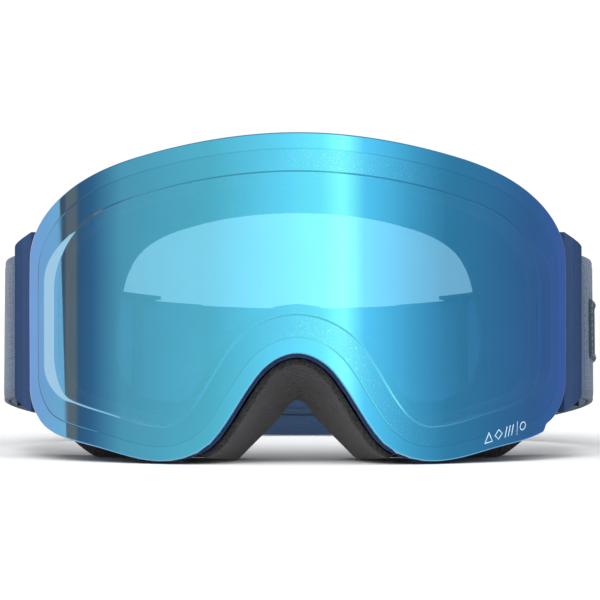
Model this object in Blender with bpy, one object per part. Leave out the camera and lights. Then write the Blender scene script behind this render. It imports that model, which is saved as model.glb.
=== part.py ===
"""Ski goggles with a cylindrical magnetic lens, standing on a flat surface with the strap as a loop behind.

Units are metres and degrees. +Z is up, the lens faces -Y, and the wearer's head goes in from +Y.
Left and right, in names and comments, are as seen from the front.
The rims, foams and lens are sweeps: a short cross-section is carried round an outline.
An outline is the right half of a closed curve, from the top centre clockwise to the nose centre. Each of
its knots is (across, up, heading): where the curve passes and which way it heads there.
"""

import math

import bmesh
import bpy
from mathutils import Matrix, Vector

# Whole object
FRONT_Y = -0.1199            # foremost line of the lens
HAIR = 0.0003                # gap between pieces that touch

# Lens: a sheet on an upright cylinder. Its outlines are on the unrolled sheet.
LENS_RADIUS = 0.114
AXIS_Y = FRONT_Y + LENS_RADIUS
LENS_OUTLINE = [
    (0.0, 0.1078, 0), (0.054, 0.1004, -13.5), (0.087, 0.0878, -31), (0.1042, 0.067, -88),
    (0.1042, 0.024, -90), (0.094, 0.0102, -157), (0.068, 0.0043, -168), (0.046, 0.0008, -180),
    (0.027, 0.0084, -230), (0.0125, 0.0293, -231), (0.0, 0.0361, -180),
]
LENS_OPENING = [
    (0.0, 0.0950, 0), (0.050, 0.0884, -14), (0.079, 0.0768, -38), (0.0913, 0.057, -90),
    (0.0913, 0.035, -90), (0.0825, 0.0202, -163), (0.066, 0.0162, -167), (0.045, 0.0122, -180),
    (0.0355, 0.0174, -230), (0.0215, 0.0384, -232), (0.0, 0.0489, -180),
]
STEPS = [5, 5, 6, 2, 5, 3, 3, 5, 4, 4]     # stations between one knot and the next
LENS_OUTER = (0.1140, 0.1124)              # outside and inside radius of each layer
LENS_CARRIER = (0.1121, 0.1096)
LENS_SPACER = (0.1121, 0.1100)
LENS_INNER = (0.1097, 0.1089)
FLANGE = (0.1093, 0.1065)
CARRIER_START = 0.26                       # share of the way from the outline to the opening
INNER_START = 1.035
SPACER_END = 1.26
LENS_COLUMNS = 48
LENS_NOTCH = (0.0918, 0.0938, 0.0020)      # the finger notch: its start, where it is full, its height

# Magnets: discs set into the carrier and, face to face with them, into the frame's flange
MAGNET_PLACES = [(0.030, 0.0978), (0.0835, 0.0810), (0.0975, 0.040), (0.0640, 0.0098)]
MAGNET_RADIUS = 0.0028
MAGNET_THICKNESS = 0.0012
POCKET_RADIUS = 0.0032
POCKET_DEPTH = 0.0018

# Frame: a C-shaped channel from the lens flange back to the face rim, whose edge curves round the face
FACE_RADIUS = 0.125
FACE_Y = FRONT_Y + 0.034
WALL = 0.0024
# How far the flange's edge stands outside the lens outline, at each knot
LIP = [-0.0010, -0.0010, -0.0010, -0.0010, -0.0024, -0.0028, -0.0012, 0.0002, 0.0006, 0.0006, 0.0006]
FRAME_REAR = [
    (0.0, 0.1018, 0), (0.046, 0.0958, -14), (0.073, 0.083, -37), (0.0845, 0.062, -88),
    (0.0845, 0.028, -90), (0.0780, 0.0110, -150), (0.064, 0.0040, -170), (0.046, 0.0022, -180),
    (0.0285, 0.0062, -222), (0.0150, 0.0200, -226), (0.0, 0.0285, -180),
]
FRAME_REAR_OPENING = [
    (0.0, 0.0900, 0), (0.042, 0.0850, -14), (0.062, 0.0745, -40), (0.0690, 0.060, -88),
    (0.0700, 0.034, -92), (0.0640, 0.0200, -160), (0.056, 0.0165, -172), (0.046, 0.0155, -180),
    (0.0375, 0.0195, -222), (0.0225, 0.0350, -226), (0.0, 0.0430, -180),
]
VENT_X = [0.0085, 0.0255, 0.0425, 0.0595]
VENT_SIZE = (0.0110, 0.0085)               # across, front to back
CHEEK_VENT_X = [0.044, 0.058]
VENT_FOAM_THICKNESS = 0.0022

# Face foam: three layers on the face rim, and a pad under the nose bridge
FOAM_OUTLINE = [
    (0.0, 0.1030, 0), (0.046, 0.0970, -14), (0.073, 0.0842, -37), (0.0845, 0.062, -88),
    (0.0845, 0.027, -90), (0.0800, 0.0090, -128), (0.0690, 0.0, -148), (0.044, 0.0, -180),
    (0.0198, 0.0, -226), (0.0062, 0.0138, -226), (0.0, 0.0197, -180),
]
FOAM_OPENING = [
    (0.0, 0.0833, 0), (0.0335, 0.0794, -15), (0.0529, 0.0705, -42), (0.0595, 0.057, -80),
    (0.0620, 0.038, -92), (0.0560, 0.0225, -150), (0.0490, 0.0190, -170), (0.0420, 0.0185, -180),
    (0.0330, 0.0235, -228), (0.0170, 0.0390, -226), (0.0, 0.0470, -180),
]
FOAM_LAYERS = {"foam_base": 0.0065, "foam_middle": 0.0060, "foam_face": 0.0018}
FOAM_ACROSS = 3                            # flats across each layer, which follow the curve of the face
NOSE_PAD_STATIONS = 20                     # how many stations it covers each side of the nose centre
NOSE_PAD_FRONT = 0.0020                    # how far it hangs below the frame's front edge

# Outriggers: plates hinged to the frame's sides, each with a bar that holds the strap
HINGE_X = 0.0890
HINGE_Y = FRONT_Y + 0.0565
PIN_RADIUS = 0.0012
PIN_ENDS = (0.0176, 0.0748)
HINGE_HOLE_RADIUS = 0.00152
LUG_RADIUS = 0.0029
LOWER_LUG = (0.0152, 0.0224)
UPPER_LUG = (0.0712, 0.0762)
BARREL_RADIUS = 0.0026
BARREL_ENDS = (0.0230, 0.0706)
PLATE_THICKNESS = 0.0024
PLATE_PATH = [(0.0900, 0.0480), (0.0933, 0.0522), (0.0955, 0.0580), (0.0970, 0.0660), (0.0980, 0.0755)]
PLATE_LOW = (0.0155, 0.0204)               # height of the lower edge at the front and at the back
PLATE_HIGH = (0.0763, 0.0715)
EAR_THICKNESS = 0.0018
EAR_CLEARANCE = 0.0009
BAR_RADIUS = 0.0015

# Strap: a band 50 mm wide that runs round three arcs each side and slopes down to the surface behind.
# All lengths back are from the front of the lens, along the strap's slope.
STRAP_WIDTH = 0.050
STRAP_THICKNESS = 0.0020
STRAP_SPAN = 0.1038                        # the loop's widest half-width
STRAP_WIDEST = 0.115                       # how far back it is widest
STRAP_REAR = 0.2363
REAR_ARC_ANGLE = 60
FRONT_ARC_RADIUS = 0.0763
SLOPE_START, SLOPE_END = 4.7, 8.53
SLOPE_FROM, SLOPE_TO = 0.080, 0.185
LOOP_END = 0.0890                          # where the sewn loop ends and the long strap begins
STRAP_START = 0.0896
BAR_BACK = 0.0785
LOOP_RADIUS = 0.0028
TAIL_THICKNESS = 0.0018
TAIL_END_ANGLE = 24                        # the doubled part stops this far round from the back centre
GRIP_ANGLE = 20
GRIP_HEIGHTS = {"grip_strip_upper": 0.016, "grip_strip_middle": 0.0, "grip_strip_lower": -0.016}
GRIP_WIDTH = 0.0024
PATCH_ENDS = (0.094, 0.140)
PATCH_HEIGHT = 0.021

# Length sliders: frames that run along the strap's rear arc
SLIDER_ANGLE = 42
SLIDER_LENGTH_ANGLE = 12.5
SLIDER_BAR_ANGLE = 2.4
SLIDER_BAR_INSET = 0.4                     # degrees by which the outer bars stop short of the rails' ends
SLIDER_RAIL = 0.0012
SLIDER_RAIL_LIP = 0.0003                   # how far the rails stand proud of the bars
SLIDER_OUTSIDE = (0.0013, 0.0030)          # the outer bars' span, outwards from the strap's middle
SLIDER_INSIDE = (-0.0050, -0.0034)         # the inner bar's span

# Material name: colour, roughness, metallic
MATERIALS = {
    "lens_mirror": ((0.10, 0.45, 0.70), 0.05, 0.9),
    "lens_clear": ((0.75, 0.85, 0.88), 0.05, 0.0),
    "carrier_plastic": ((0.03, 0.07, 0.16), 0.45, 0.0),
    "spacer_foam": ((0.02, 0.02, 0.025), 0.95, 0.0),
    "magnet_steel": ((0.62, 0.62, 0.64), 0.30, 1.0),
    "frame_navy": ((0.035, 0.075, 0.22), 0.55, 0.0),
    "vent_foam": ((0.03, 0.03, 0.035), 0.95, 0.0),
    "face_foam": ((0.06, 0.06, 0.062), 0.95, 0.0),
    "fleece": ((0.045, 0.045, 0.048), 1.0, 0.0),
    "strap_webbing": ((0.10, 0.17, 0.25), 0.85, 0.0),
    "slider_plastic": ((0.03, 0.035, 0.045), 0.5, 0.0),
    "grip_silicone": ((0.12, 0.20, 0.32), 0.4, 0.0),
    "patch_rubber": ((0.02, 0.05, 0.08), 0.6, 0.0),
}


def clear_scene():
    for obj in list(bpy.data.objects):
        bpy.data.objects.remove(obj)


def material(name):
    found = bpy.data.materials.get(name)
    if found:
        return found
    colour, roughness, metallic = MATERIALS[name]
    made = bpy.data.materials.new(name)
    made.use_nodes = True
    shader = made.node_tree.nodes["Principled BSDF"]
    shader.inputs["Base Color"].default_value = (*colour, 1.0)
    shader.inputs["Roughness"].default_value = roughness
    shader.inputs["Metallic"].default_value = metallic
    return made


def finish(name, mesh_data, material_name):
    """Turns a bmesh into a shaded object with its faces pointing out."""
    bmesh.ops.recalc_face_normals(mesh_data, faces=mesh_data.faces)
    mesh = bpy.data.meshes.new(name)
    mesh_data.to_mesh(mesh)
    mesh_data.free()
    mesh.materials.append(material(material_name))
    mesh.shade_smooth()
    mesh.set_sharp_from_angle(angle=math.radians(35))
    obj = bpy.data.objects.new(name, mesh)
    bpy.context.scene.collection.objects.link(obj)
    return obj


def sweep(name, sections, material_name, closed=False):
    """A solid through a row of cross-sections, joined end to end or capped."""
    made = bmesh.new()
    rows = [[made.verts.new(point) for point in section] for section in sections]
    pairs = list(zip(rows, rows[1:]))
    if closed:
        pairs.append((rows[-1], rows[0]))
    else:
        made.faces.new(rows[0])
        made.faces.new(rows[-1])
    count = len(rows[0])
    for here, there in pairs:
        for k in range(count):
            after = (k + 1) % count
            # Opposite sides of the section take matching diagonals, so stacked layers stay parallel.
            if k < count // 2:
                made.faces.new((here[k], here[after], there[after]))
                made.faces.new((here[k], there[after], there[k]))
            else:
                made.faces.new((here[k], here[after], there[k]))
                made.faces.new((here[after], there[after], there[k]))
    return finish(name, made, material_name)


def cylinder(name, centre, direction, radius, length, material_name, segments=24, bevel=0.0):
    """A round bar or disc about its centre, with its far end bevelled if asked."""
    made = bmesh.new()
    bmesh.ops.create_cone(
        made, cap_ends=True, segments=segments, radius1=radius, radius2=radius, depth=length
    )
    if bevel:
        edges = [e for e in made.edges if all(v.co.z < 0 for v in e.verts)]
        bmesh.ops.bevel(made, geom=edges, offset=bevel, segments=2, profile=0.5, affect="EDGES")
    turn = Vector((0, 0, 1)).rotation_difference(Vector(direction)).to_matrix().to_4x4()
    bmesh.ops.transform(made, matrix=Matrix.Translation(centre) @ turn, verts=made.verts)
    return finish(name, made, material_name)


def box(name, low, high, material_name):
    made = bmesh.new()
    bmesh.ops.create_cube(made, size=1.0)
    size = [b - a for a, b in zip(low, high)]
    middle = [(a + b) / 2 for a, b in zip(low, high)]
    bmesh.ops.scale(made, vec=size, verts=made.verts)
    bmesh.ops.translate(made, vec=middle, verts=made.verts)
    return finish(name, made, material_name)


def hang(name, place, pieces):
    """Parents pieces to an empty on their joint's axis."""
    pivot = bpy.data.objects.new(name, None)
    pivot.empty_display_size = 0.01
    pivot.location = place
    bpy.context.scene.collection.objects.link(pivot)
    for piece in pieces:
        piece.parent = pivot
        piece.matrix_parent_inverse = Matrix.Translation(place).inverted()


def combine(target, helper, operation):
    """Adds or cuts a helper solid, which is then hidden."""
    modifier = target.modifiers.new(helper.name, "BOOLEAN")
    modifier.operation = operation
    modifier.object = helper
    helper.hide_render = True
    helper.display_type = "WIRE"


def curve_between(start, end, steps):
    """Points from one knot up to the next, without the last: a cubic with the knots' headings."""
    reach = math.dist(start[:2], end[:2])
    turns = [math.radians(knot[2]) for knot in (start, end)]
    pull = [Vector((math.cos(turn), math.sin(turn))) * reach for turn in turns]
    a, b = Vector(start[:2]), Vector(end[:2])
    points = []
    for i in range(steps):
        t = i / steps
        points.append(
            a * (2 * t**3 - 3 * t**2 + 1)
            + pull[0] * (t**3 - 2 * t**2 + t)
            + b * (3 * t**2 - 2 * t**3)
            + pull[1] * (t**3 - t**2)
        )
    return points


def half_outline(knots):
    """The right half of an outline, flattened where it would dip below the surface."""
    points = []
    for start, end, steps in zip(knots, knots[1:], STEPS):
        points += curve_between(start, end, steps)
    points.append(Vector(knots[-1][:2]))
    return [Vector((p.x, max(p.y, 0.0))) for p in points]


def outline(knots):
    """The whole closed outline, from the top centre clockwise as seen from the front."""
    right = half_outline(knots)
    left = [Vector((-p.x, p.y)) for p in reversed(right[1:-1])]
    return right + left


def between(first, second, share):
    return [a.lerp(b, share) for a, b in zip(first, second)]


def inset(points, distance, lips=None):
    """The closed outline moved inwards along its normals, and outwards by each point's own lip."""
    lips = lips or [0.0] * len(points)
    moved = []
    for i, here in enumerate(points):
        along = points[(i + 1) % len(points)] - points[i - 1]
        moved.append(here + Vector((along.y, -along.x)).normalized() * (distance - lips[i]))
    return moved


def lip_of_each():
    """The flange's lip at every point of the closed outline."""
    right = []
    for start, end, steps in zip(LIP, LIP[1:], STEPS):
        right += [start + (end - start) * i / steps for i in range(steps)]
    right.append(LIP[-1])
    return right + right[-2:0:-1]


def on_cylinder(point, radius):
    """A place on the unrolled lens sheet, put on the cylinder of that radius."""
    angle = point[0] / LENS_RADIUS
    return Vector((radius * math.sin(angle), AXIS_Y - radius * math.cos(angle), point[1]))


def on_face(point, depth):
    """A place on the curved rim that faces the wearer, moved back by depth."""
    x = point[0]
    return Vector((x, FACE_Y + FACE_RADIUS - math.sqrt(FACE_RADIUS**2 - x * x) + depth, point[1]))


# ---- lens ----

def height_at(points, x):
    """The height of a polyline that runs from the middle outwards."""
    for a, b in zip(points, points[1:]):
        if a.x <= x <= b.x:
            share = (x - a.x) / (b.x - a.x) if b.x > a.x else 0.0
            return a.y + (b.y - a.y) * share
    return points[-1].y


def notch_share(x):
    """How much of the finger notch there is at a place along the lower edge."""
    start, full, _ = LENS_NOTCH
    share = min(max((x - start) / (full - start), 0.0), 1.0)
    return share * share * (3 - 2 * share)


def lens_sheet(name, share, radii, material_name, notch=0.0):
    """A lens as upright strips, between its upper and lower edges."""
    points = between(outline(LENS_OUTLINE), outline(LENS_OPENING), share)
    right = points[: sum(STEPS) + 1]
    side = sum(STEPS[:3])
    upper = right[: side + 1]
    lower = list(reversed(right[side + STEPS[3] :]))
    reach = right[side].x
    sections = []
    for column in range(LENS_COLUMNS + 1):
        x = reach * math.sin(math.pi * (column / LENS_COLUMNS - 0.5))
        low, high = height_at(lower, abs(x)) + notch * notch_share(x), height_at(upper, abs(x))
        outside, inside = radii
        sections.append([
            on_cylinder((x, low), outside), on_cylinder((x, high), outside),
            on_cylinder((x, high), inside), on_cylinder((x, low), inside),
        ])
    return sweep(name, sections, material_name)


def lens_ring(name, start, end, radii, material_name):
    """A ring behind the lens, from one share of the way in to another."""
    outer, opening = outline(LENS_OUTLINE), outline(LENS_OPENING)
    edge, inner = between(outer, opening, start), between(outer, opening, end)
    sections = [
        [
            on_cylinder(a, radii[0]), on_cylinder(b, radii[0]),
            on_cylinder(b, radii[1]), on_cylinder(a, radii[1]),
        ]
        for a, b in zip(edge, inner)
    ]
    return sweep(name, sections, material_name, closed=True)


def magnet_places():
    """Each magnet's number and its place on the unrolled sheet."""
    places = [(side * x, z) for x, z in MAGNET_PLACES for side in (1, -1)]
    return list(enumerate(places, start=1))


def disc_at(name, place, near, far, radius, material_name):
    """A disc on the lens cylinder between two radii."""
    a, b = on_cylinder(place, near), on_cylinder(place, far)
    return cylinder(name, (a + b) / 2, b - a, radius, (b - a).length, material_name, segments=16)


def build_lens():
    outer = lens_sheet("lens_outer", 0.0, LENS_OUTER, "lens_mirror", notch=LENS_NOTCH[2])
    inner = lens_sheet("lens_inner", INNER_START, LENS_INNER, "lens_clear")
    spacer = lens_ring("lens_spacer", INNER_START, SPACER_END, LENS_SPACER, "spacer_foam")
    carrier = lens_ring("lens_carrier", CARRIER_START, 1.0, LENS_CARRIER, "carrier_plastic")
    pieces = [outer, inner, spacer, carrier]
    back = LENS_CARRIER[1]
    for number, place in magnet_places():
        pocket = disc_at(
            f"carrier_pocket_{number}", place, back - 0.001, back + POCKET_DEPTH, POCKET_RADIUS,
            "carrier_plastic",
        )
        combine(carrier, pocket, "DIFFERENCE")
        near = back + HAIR / 2
        pieces.append(disc_at(
            f"lens_magnet_{number}", place, near, near + MAGNET_THICKNESS, MAGNET_RADIUS, "magnet_steel"
        ))
    hang("lens_pull", (0.0, FRONT_Y, LENS_OUTLINE[0][1] / 2), pieces)


# ---- frame ----

def frame_loops():
    """The ten corners of the frame's channel, each as points round the frame."""
    outer, lips = outline(LENS_OUTLINE), lip_of_each()
    lip, opening = inset(outer, 0.0, lips), outline(LENS_OPENING)
    wall_front = inset(outer, WALL, lips)
    rear, rear_opening = outline(FRAME_REAR), outline(FRAME_REAR_OPENING)
    wall_rear, middle = inset(rear, WALL), between(rear, rear_opening, 0.5)
    return [
        [on_cylinder(p, FLANGE[0]) for p in lip],
        [on_cylinder(p, FLANGE[0]) for p in opening],
        [on_cylinder(p, FLANGE[1]) for p in opening],
        [on_cylinder(p, FLANGE[1]) for p in wall_front],
        [on_face(p, -WALL) for p in wall_rear],
        [on_face(p, -WALL) for p in middle],
        [on_face(p, -WALL) for p in rear_opening],
        [on_face(p, 0.0) for p in rear_opening],
        [on_face(p, 0.0) for p in middle],
        [on_face(p, 0.0) for p in rear],
    ]


def vent_cutter(name, x, low, high):
    """A slot through the channel's wall, midway between its flanges."""
    front = on_cylinder((LENS_RADIUS * math.asin(x / FLANGE[1]), 0.0), FLANGE[1]).y
    middle = (front + on_face((x, 0.0), -WALL).y) / 2
    half = Vector((VENT_SIZE[0] / 2, VENT_SIZE[1] / 2))
    return box(name, (x - half.x, middle - half.y, low), (x + half.x, middle + half.y, high), "frame_navy")


def build_frame():
    frame = sweep("frame_shell", list(zip(*frame_loops())), "frame_navy", closed=True)
    for side, word in ((1, "right"), (-1, "left")):
        x = side * HINGE_X
        for label, (low, high) in (("lower", LOWER_LUG), ("upper", UPPER_LUG)):
            inner, outer = sorted((side * 0.0800, x))
            arm = box(
                f"{label}_arm_{word}",
                (inner, HINGE_Y - 0.0024, low + 0.0008),
                (outer, HINGE_Y + 0.0024, high - 0.0004),
                "frame_navy",
            )
            combine(frame, arm, "UNION")
            lug = cylinder(
                f"{label}_lug_{word}", (x, HINGE_Y, (low + high) / 2),
                (0, 0, 1 if label == "lower" else -1),
                LUG_RADIUS, high - low, "frame_navy", segments=20, bevel=0.0016,
            )
            combine(frame, lug, "UNION")
        hole = cylinder(
            f"pin_hole_{word}", (x, HINGE_Y, sum(PIN_ENDS) / 2), (0, 0, 1), HINGE_HOLE_RADIUS,
            PIN_ENDS[1] - PIN_ENDS[0] + 2 * HAIR, "frame_navy",
        )
        combine(frame, hole, "DIFFERENCE")
        for number, vent_x in enumerate(VENT_X, start=1):
            vent = vent_cutter(f"top_vent_{number}_{word}", side * vent_x, 0.080, 0.120)
            combine(frame, vent, "DIFFERENCE")
        for number, vent_x in enumerate(CHEEK_VENT_X, start=1):
            vent = vent_cutter(f"cheek_vent_{number}_{word}", side * vent_x, -0.01, 0.0125)
            combine(frame, vent, "DIFFERENCE")
    face = FLANGE[0]
    for number, place in magnet_places():
        pocket = disc_at(
            f"frame_pocket_{number}", place, face - POCKET_DEPTH, face + 0.001, POCKET_RADIUS, "frame_navy"
        )
        combine(frame, pocket, "DIFFERENCE")
        top = face - HAIR / 2
        disc_at(f"frame_magnet_{number}", place, top - MAGNET_THICKNESS, top, MAGNET_RADIUS, "magnet_steel")


def vent_foam(name, stations):
    """A strip of open foam against the inside of the channel's wall, over the vents."""
    outer, rear = outline(LENS_OUTLINE), outline(FRAME_REAR)
    near = WALL + 1.5 * HAIR
    depths = (near, near + VENT_FOAM_THICKNESS)
    fronts = [inset(outer, depth, lip_of_each()) for depth in depths]
    backs = [inset(rear, depth) for depth in depths]
    sections = []
    for i in stations:
        a, b = (on_cylinder(points[i], FLANGE[1]) for points in fronts)
        d, c = (on_face(points[i], -WALL) for points in backs)
        sections.append([a.lerp(d, 0.05), b.lerp(c, 0.05), b.lerp(c, 0.95), a.lerp(d, 0.95)])
    return sweep(name, sections, "vent_foam")


def build_vent_foam():
    count = 2 * sum(STEPS)
    top = sum(STEPS[:2])
    vent_foam("vent_foam_top", range(-top, top + 1))
    first, last = sum(STEPS[:5]) + 1, sum(STEPS[:7])
    vent_foam("vent_foam_right", range(first, last + 1))
    vent_foam("vent_foam_left", range(count - last, count - first + 1))


# ---- face foam ----

def build_foam():
    outer, opening = outline(FOAM_OUTLINE), outline(FOAM_OPENING)
    loops = [between(outer, opening, share / FOAM_ACROSS) for share in range(FOAM_ACROSS + 1)]
    depth = HAIR
    for name, thickness in FOAM_LAYERS.items():
        front, back = depth, depth + thickness
        sections = [
            [on_face(p, front) for p in row] + [on_face(p, back) for p in reversed(row)]
            for row in zip(*loops)
        ]
        sweep(name, sections, "fleece" if name == "foam_face" else "face_foam", closed=True)
        depth = back + HAIR


def build_nose_pad():
    """The wedge of foam under the frame's nose bridge, thin behind the lens and thick at the face."""
    lens, rear, foam = outline(LENS_OUTLINE), outline(FRAME_REAR), outline(FOAM_OUTLINE)
    lips = lip_of_each()
    wall_front, wall_rear = inset(lens, -1.5 * HAIR, lips), inset(rear, -1.5 * HAIR)
    front_edge = [Vector((p.x, max(p.y, 0.0))) for p in inset(lens, -NOSE_PAD_FRONT, lips)]
    centre, reach = sum(STEPS), NOSE_PAD_STATIONS
    sections = []
    for i in range(centre - reach, centre + reach + 1):
        front, back = on_cylinder(wall_front[i], FLANGE[0]), on_face(wall_rear[i], 0.0)
        under, heel = on_cylinder(front_edge[i], FLANGE[0]), on_face(foam[i], 0.0)
        sections.append([front.lerp(back, 0.08), back, heel, under.lerp(heel, 0.08)])
    sweep("nose_pad", sections, "face_foam")


# ---- strap path ----

def strap_arcs():
    """(rear radius, side radius): two arcs that meet smoothly and reach the loop's width and depth."""
    turn = math.radians(REAR_ARC_ANGLE)
    s, c = math.sin(turn), math.cos(turn)
    depth = STRAP_REAR - STRAP_WIDEST
    # span = rear * s + side * (1 - s) and depth = rear * (1 - c) + side * c
    det = s * c - (1 - s) * (1 - c)
    rear = (STRAP_SPAN * c - depth * (1 - s)) / det
    side = (depth * s - STRAP_SPAN * (1 - c)) / det
    return rear, side


def plan_point(back, side, offset=0.0):
    """The strap's place in plan at a distance back, on one side. Offset is outwards from its middle."""
    rear, flat = strap_arcs()
    join = STRAP_REAR - rear * (1 - math.cos(math.radians(REAR_ARC_ANGLE)))
    if back <= STRAP_WIDEST:
        centre, radius = Vector((STRAP_SPAN - FRONT_ARC_RADIUS, STRAP_WIDEST)), FRONT_ARC_RADIUS
    elif back <= join:
        centre, radius = Vector((STRAP_SPAN - flat, STRAP_WIDEST)), flat
    else:
        centre, radius = Vector((0.0, STRAP_REAR - rear)), rear
    up = back - centre.y
    out = Vector((math.sqrt(max(radius**2 - up**2, 0.0)), up)) / radius
    place = centre + out * (radius + offset)
    return Vector((side * place.x, place.y))


def slope_at(back):
    share = min(max((back - SLOPE_FROM) / (SLOPE_TO - SLOPE_FROM), 0.0), 1.0)
    return math.radians(SLOPE_START + (SLOPE_END - SLOPE_START) * share)


def run_and_drop(back):
    """How far back and how far down the strap's middle is at a distance back along its slope."""
    low, high = math.radians(SLOPE_START), math.radians(SLOPE_END)
    rate = (high - low) / (SLOPE_TO - SLOPE_FROM)
    ramp = min(max(back, SLOPE_FROM), SLOPE_TO)
    angle = slope_at(ramp)
    run = SLOPE_FROM + (math.sin(angle) - math.sin(low)) / rate
    drop = (math.cos(low) - math.cos(angle)) / rate
    run += min(back - SLOPE_FROM, 0.0) * math.cos(low) + max(back - SLOPE_TO, 0.0) * math.cos(high)
    drop += min(back - SLOPE_FROM, 0.0) * math.sin(low) + max(back - SLOPE_TO, 0.0) * math.sin(high)
    return run, drop


def strap_point(plan, height):
    """A plan place and a height across the strap, laid on the sloping strap."""
    rear_slope = math.radians(SLOPE_END)
    low_edge = (STRAP_WIDTH * math.cos(rear_slope) + STRAP_THICKNESS * math.sin(rear_slope)) / 2
    run, drop = run_and_drop(plan.y)
    slope = slope_at(plan.y)
    level = low_edge + run_and_drop(STRAP_REAR)[1] - drop
    return Vector((plan.x, FRONT_Y + run + height * math.sin(slope), level + height * math.cos(slope)))


def band(name, plans, heights, material_name):
    """A strip of strap. Plans holds (inner, outer) plan places along it."""
    low, high = heights
    sections = [
        [strap_point(a, low), strap_point(a, high), strap_point(b, high), strap_point(b, low)]
        for a, b in plans
    ]
    return sweep(name, sections, material_name)


def arc_plan(angle, offset):
    """A plan place on the rear arc, at an angle round from the back centre."""
    radius = strap_arcs()[0]
    turn = math.radians(angle)
    return Vector((
        (radius + offset) * math.sin(turn), STRAP_REAR - radius + (radius + offset) * math.cos(turn)
    ))


def side_plans(start, end, side, offsets, steps):
    """(inner, outer) places from one distance back to another."""
    return [
        tuple(plan_point(start + (end - start) * i / steps, side, offset) for offset in offsets)
        for i in range(steps + 1)
    ]


def arc_plans(start, end, offsets, steps):
    return [
        tuple(arc_plan(start + (end - start) * i / steps, offset) for offset in offsets)
        for i in range(steps + 1)
    ]


def arc_start():
    """The distance back where the rear arc begins."""
    rear = strap_arcs()[0]
    return STRAP_REAR - rear * (1 - math.cos(math.radians(REAR_ARC_ANGLE)))


# ---- strap ----

def build_strap():
    half = STRAP_WIDTH / 2
    offsets = (-STRAP_THICKNESS / 2, STRAP_THICKNESS / 2)
    right = side_plans(STRAP_START, arc_start(), 1, offsets, 18)
    back = arc_plans(REAR_ARC_ANGLE, -REAR_ARC_ANGLE, offsets, 36)
    left = side_plans(STRAP_START, arc_start(), -1, offsets, 18)
    band("strap_main", right[:-1] + back + left[-2::-1], (-half, half), "strap_webbing")

    inner = -STRAP_THICKNESS / 2 - HAIR
    layer = (inner - TAIL_THICKNESS, inner)
    for side, word in ((1, "right"), (-1, "left")):
        plans = side_plans(STRAP_START, arc_start(), side, layer, 16)
        plans = plans[:-1] + arc_plans(side * REAR_ARC_ANGLE, side * TAIL_END_ANGLE, layer, 12)
        band(f"strap_tail_{word}", plans, (-half, half), "strap_webbing")

    grip = (inner - 0.0006, inner)
    for name, height in GRIP_HEIGHTS.items():
        plans = arc_plans(GRIP_ANGLE, -GRIP_ANGLE, grip, 14)
        band(name, plans, (height - GRIP_WIDTH / 2, height + GRIP_WIDTH / 2), "grip_silicone")

    outside = STRAP_THICKNESS / 2 + HAIR
    plans = side_plans(*PATCH_ENDS, 1, (outside, outside + 0.0009), 10)
    band("strap_patch", plans, (-PATCH_HEIGHT / 2, PATCH_HEIGHT / 2), "patch_rubber")


def loop_line():
    """The sewn loop's middle line in plan, as (distance back, offset), out round the bar and back."""
    spacing = (STRAP_THICKNESS + TAIL_THICKNESS) / 2 + HAIR
    nose = BAR_BACK - 0.0026
    points = [(LOOP_END, 0.0), (LOOP_END - 0.005, 0.0), (nose, 0.0)]
    for i in range(1, 8):
        turn = math.pi * i / 8
        points.append((nose - LOOP_RADIUS * math.sin(turn), -LOOP_RADIUS * (1 - math.cos(turn))))
    points += [(nose, -2 * LOOP_RADIUS), (BAR_BACK + 0.0010, -2 * LOOP_RADIUS)]
    return points + [(LOOP_END - 0.004, -spacing), (LOOP_END, -spacing)]


def build_loop(side, word):
    """The strap's end, sewn into a loop round the outrigger's bar, whose hinge it follows."""
    line = [plan_point(back, side, offset) for back, offset in loop_line()]
    plans = []
    for i, here in enumerate(line):
        along = line[min(i + 1, len(line) - 1)] - line[max(i - 1, 0)]
        across = Vector((along.y, -along.x)).normalized() * TAIL_THICKNESS / 2
        plans.append((here - across, here + across))
    return band(f"strap_loop_{word}", plans, (-STRAP_WIDTH / 2, STRAP_WIDTH / 2), "strap_webbing")


# ---- outriggers ----

def plate_sections(side):
    """The outrigger's plate along its path: curved in plan, and lower and shorter towards the back."""
    path = [Vector(p) for p in PLATE_PATH]
    first, last = path[0].x, path[-1].x
    sections = []
    for i, here in enumerate(path):
        along = (path[min(i + 1, len(path) - 1)] - path[max(i - 1, 0)]).normalized()
        inner = here + Vector((-along.y, along.x)) * PLATE_THICKNESS
        share = (here.x - first) / (last - first)
        low = PLATE_LOW[0] + (PLATE_LOW[1] - PLATE_LOW[0]) * share
        high = PLATE_HIGH[0] + (PLATE_HIGH[1] - PLATE_HIGH[0]) * share
        corners = [(here, low), (here, high), (inner, high), (inner, low)]
        sections.append([Vector((side * p.x, FRONT_Y + p.y, z)) for p, z in corners])
    return sections


def bar_centre(side):
    return plan_point(BAR_BACK, side, -LOOP_RADIUS)


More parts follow.
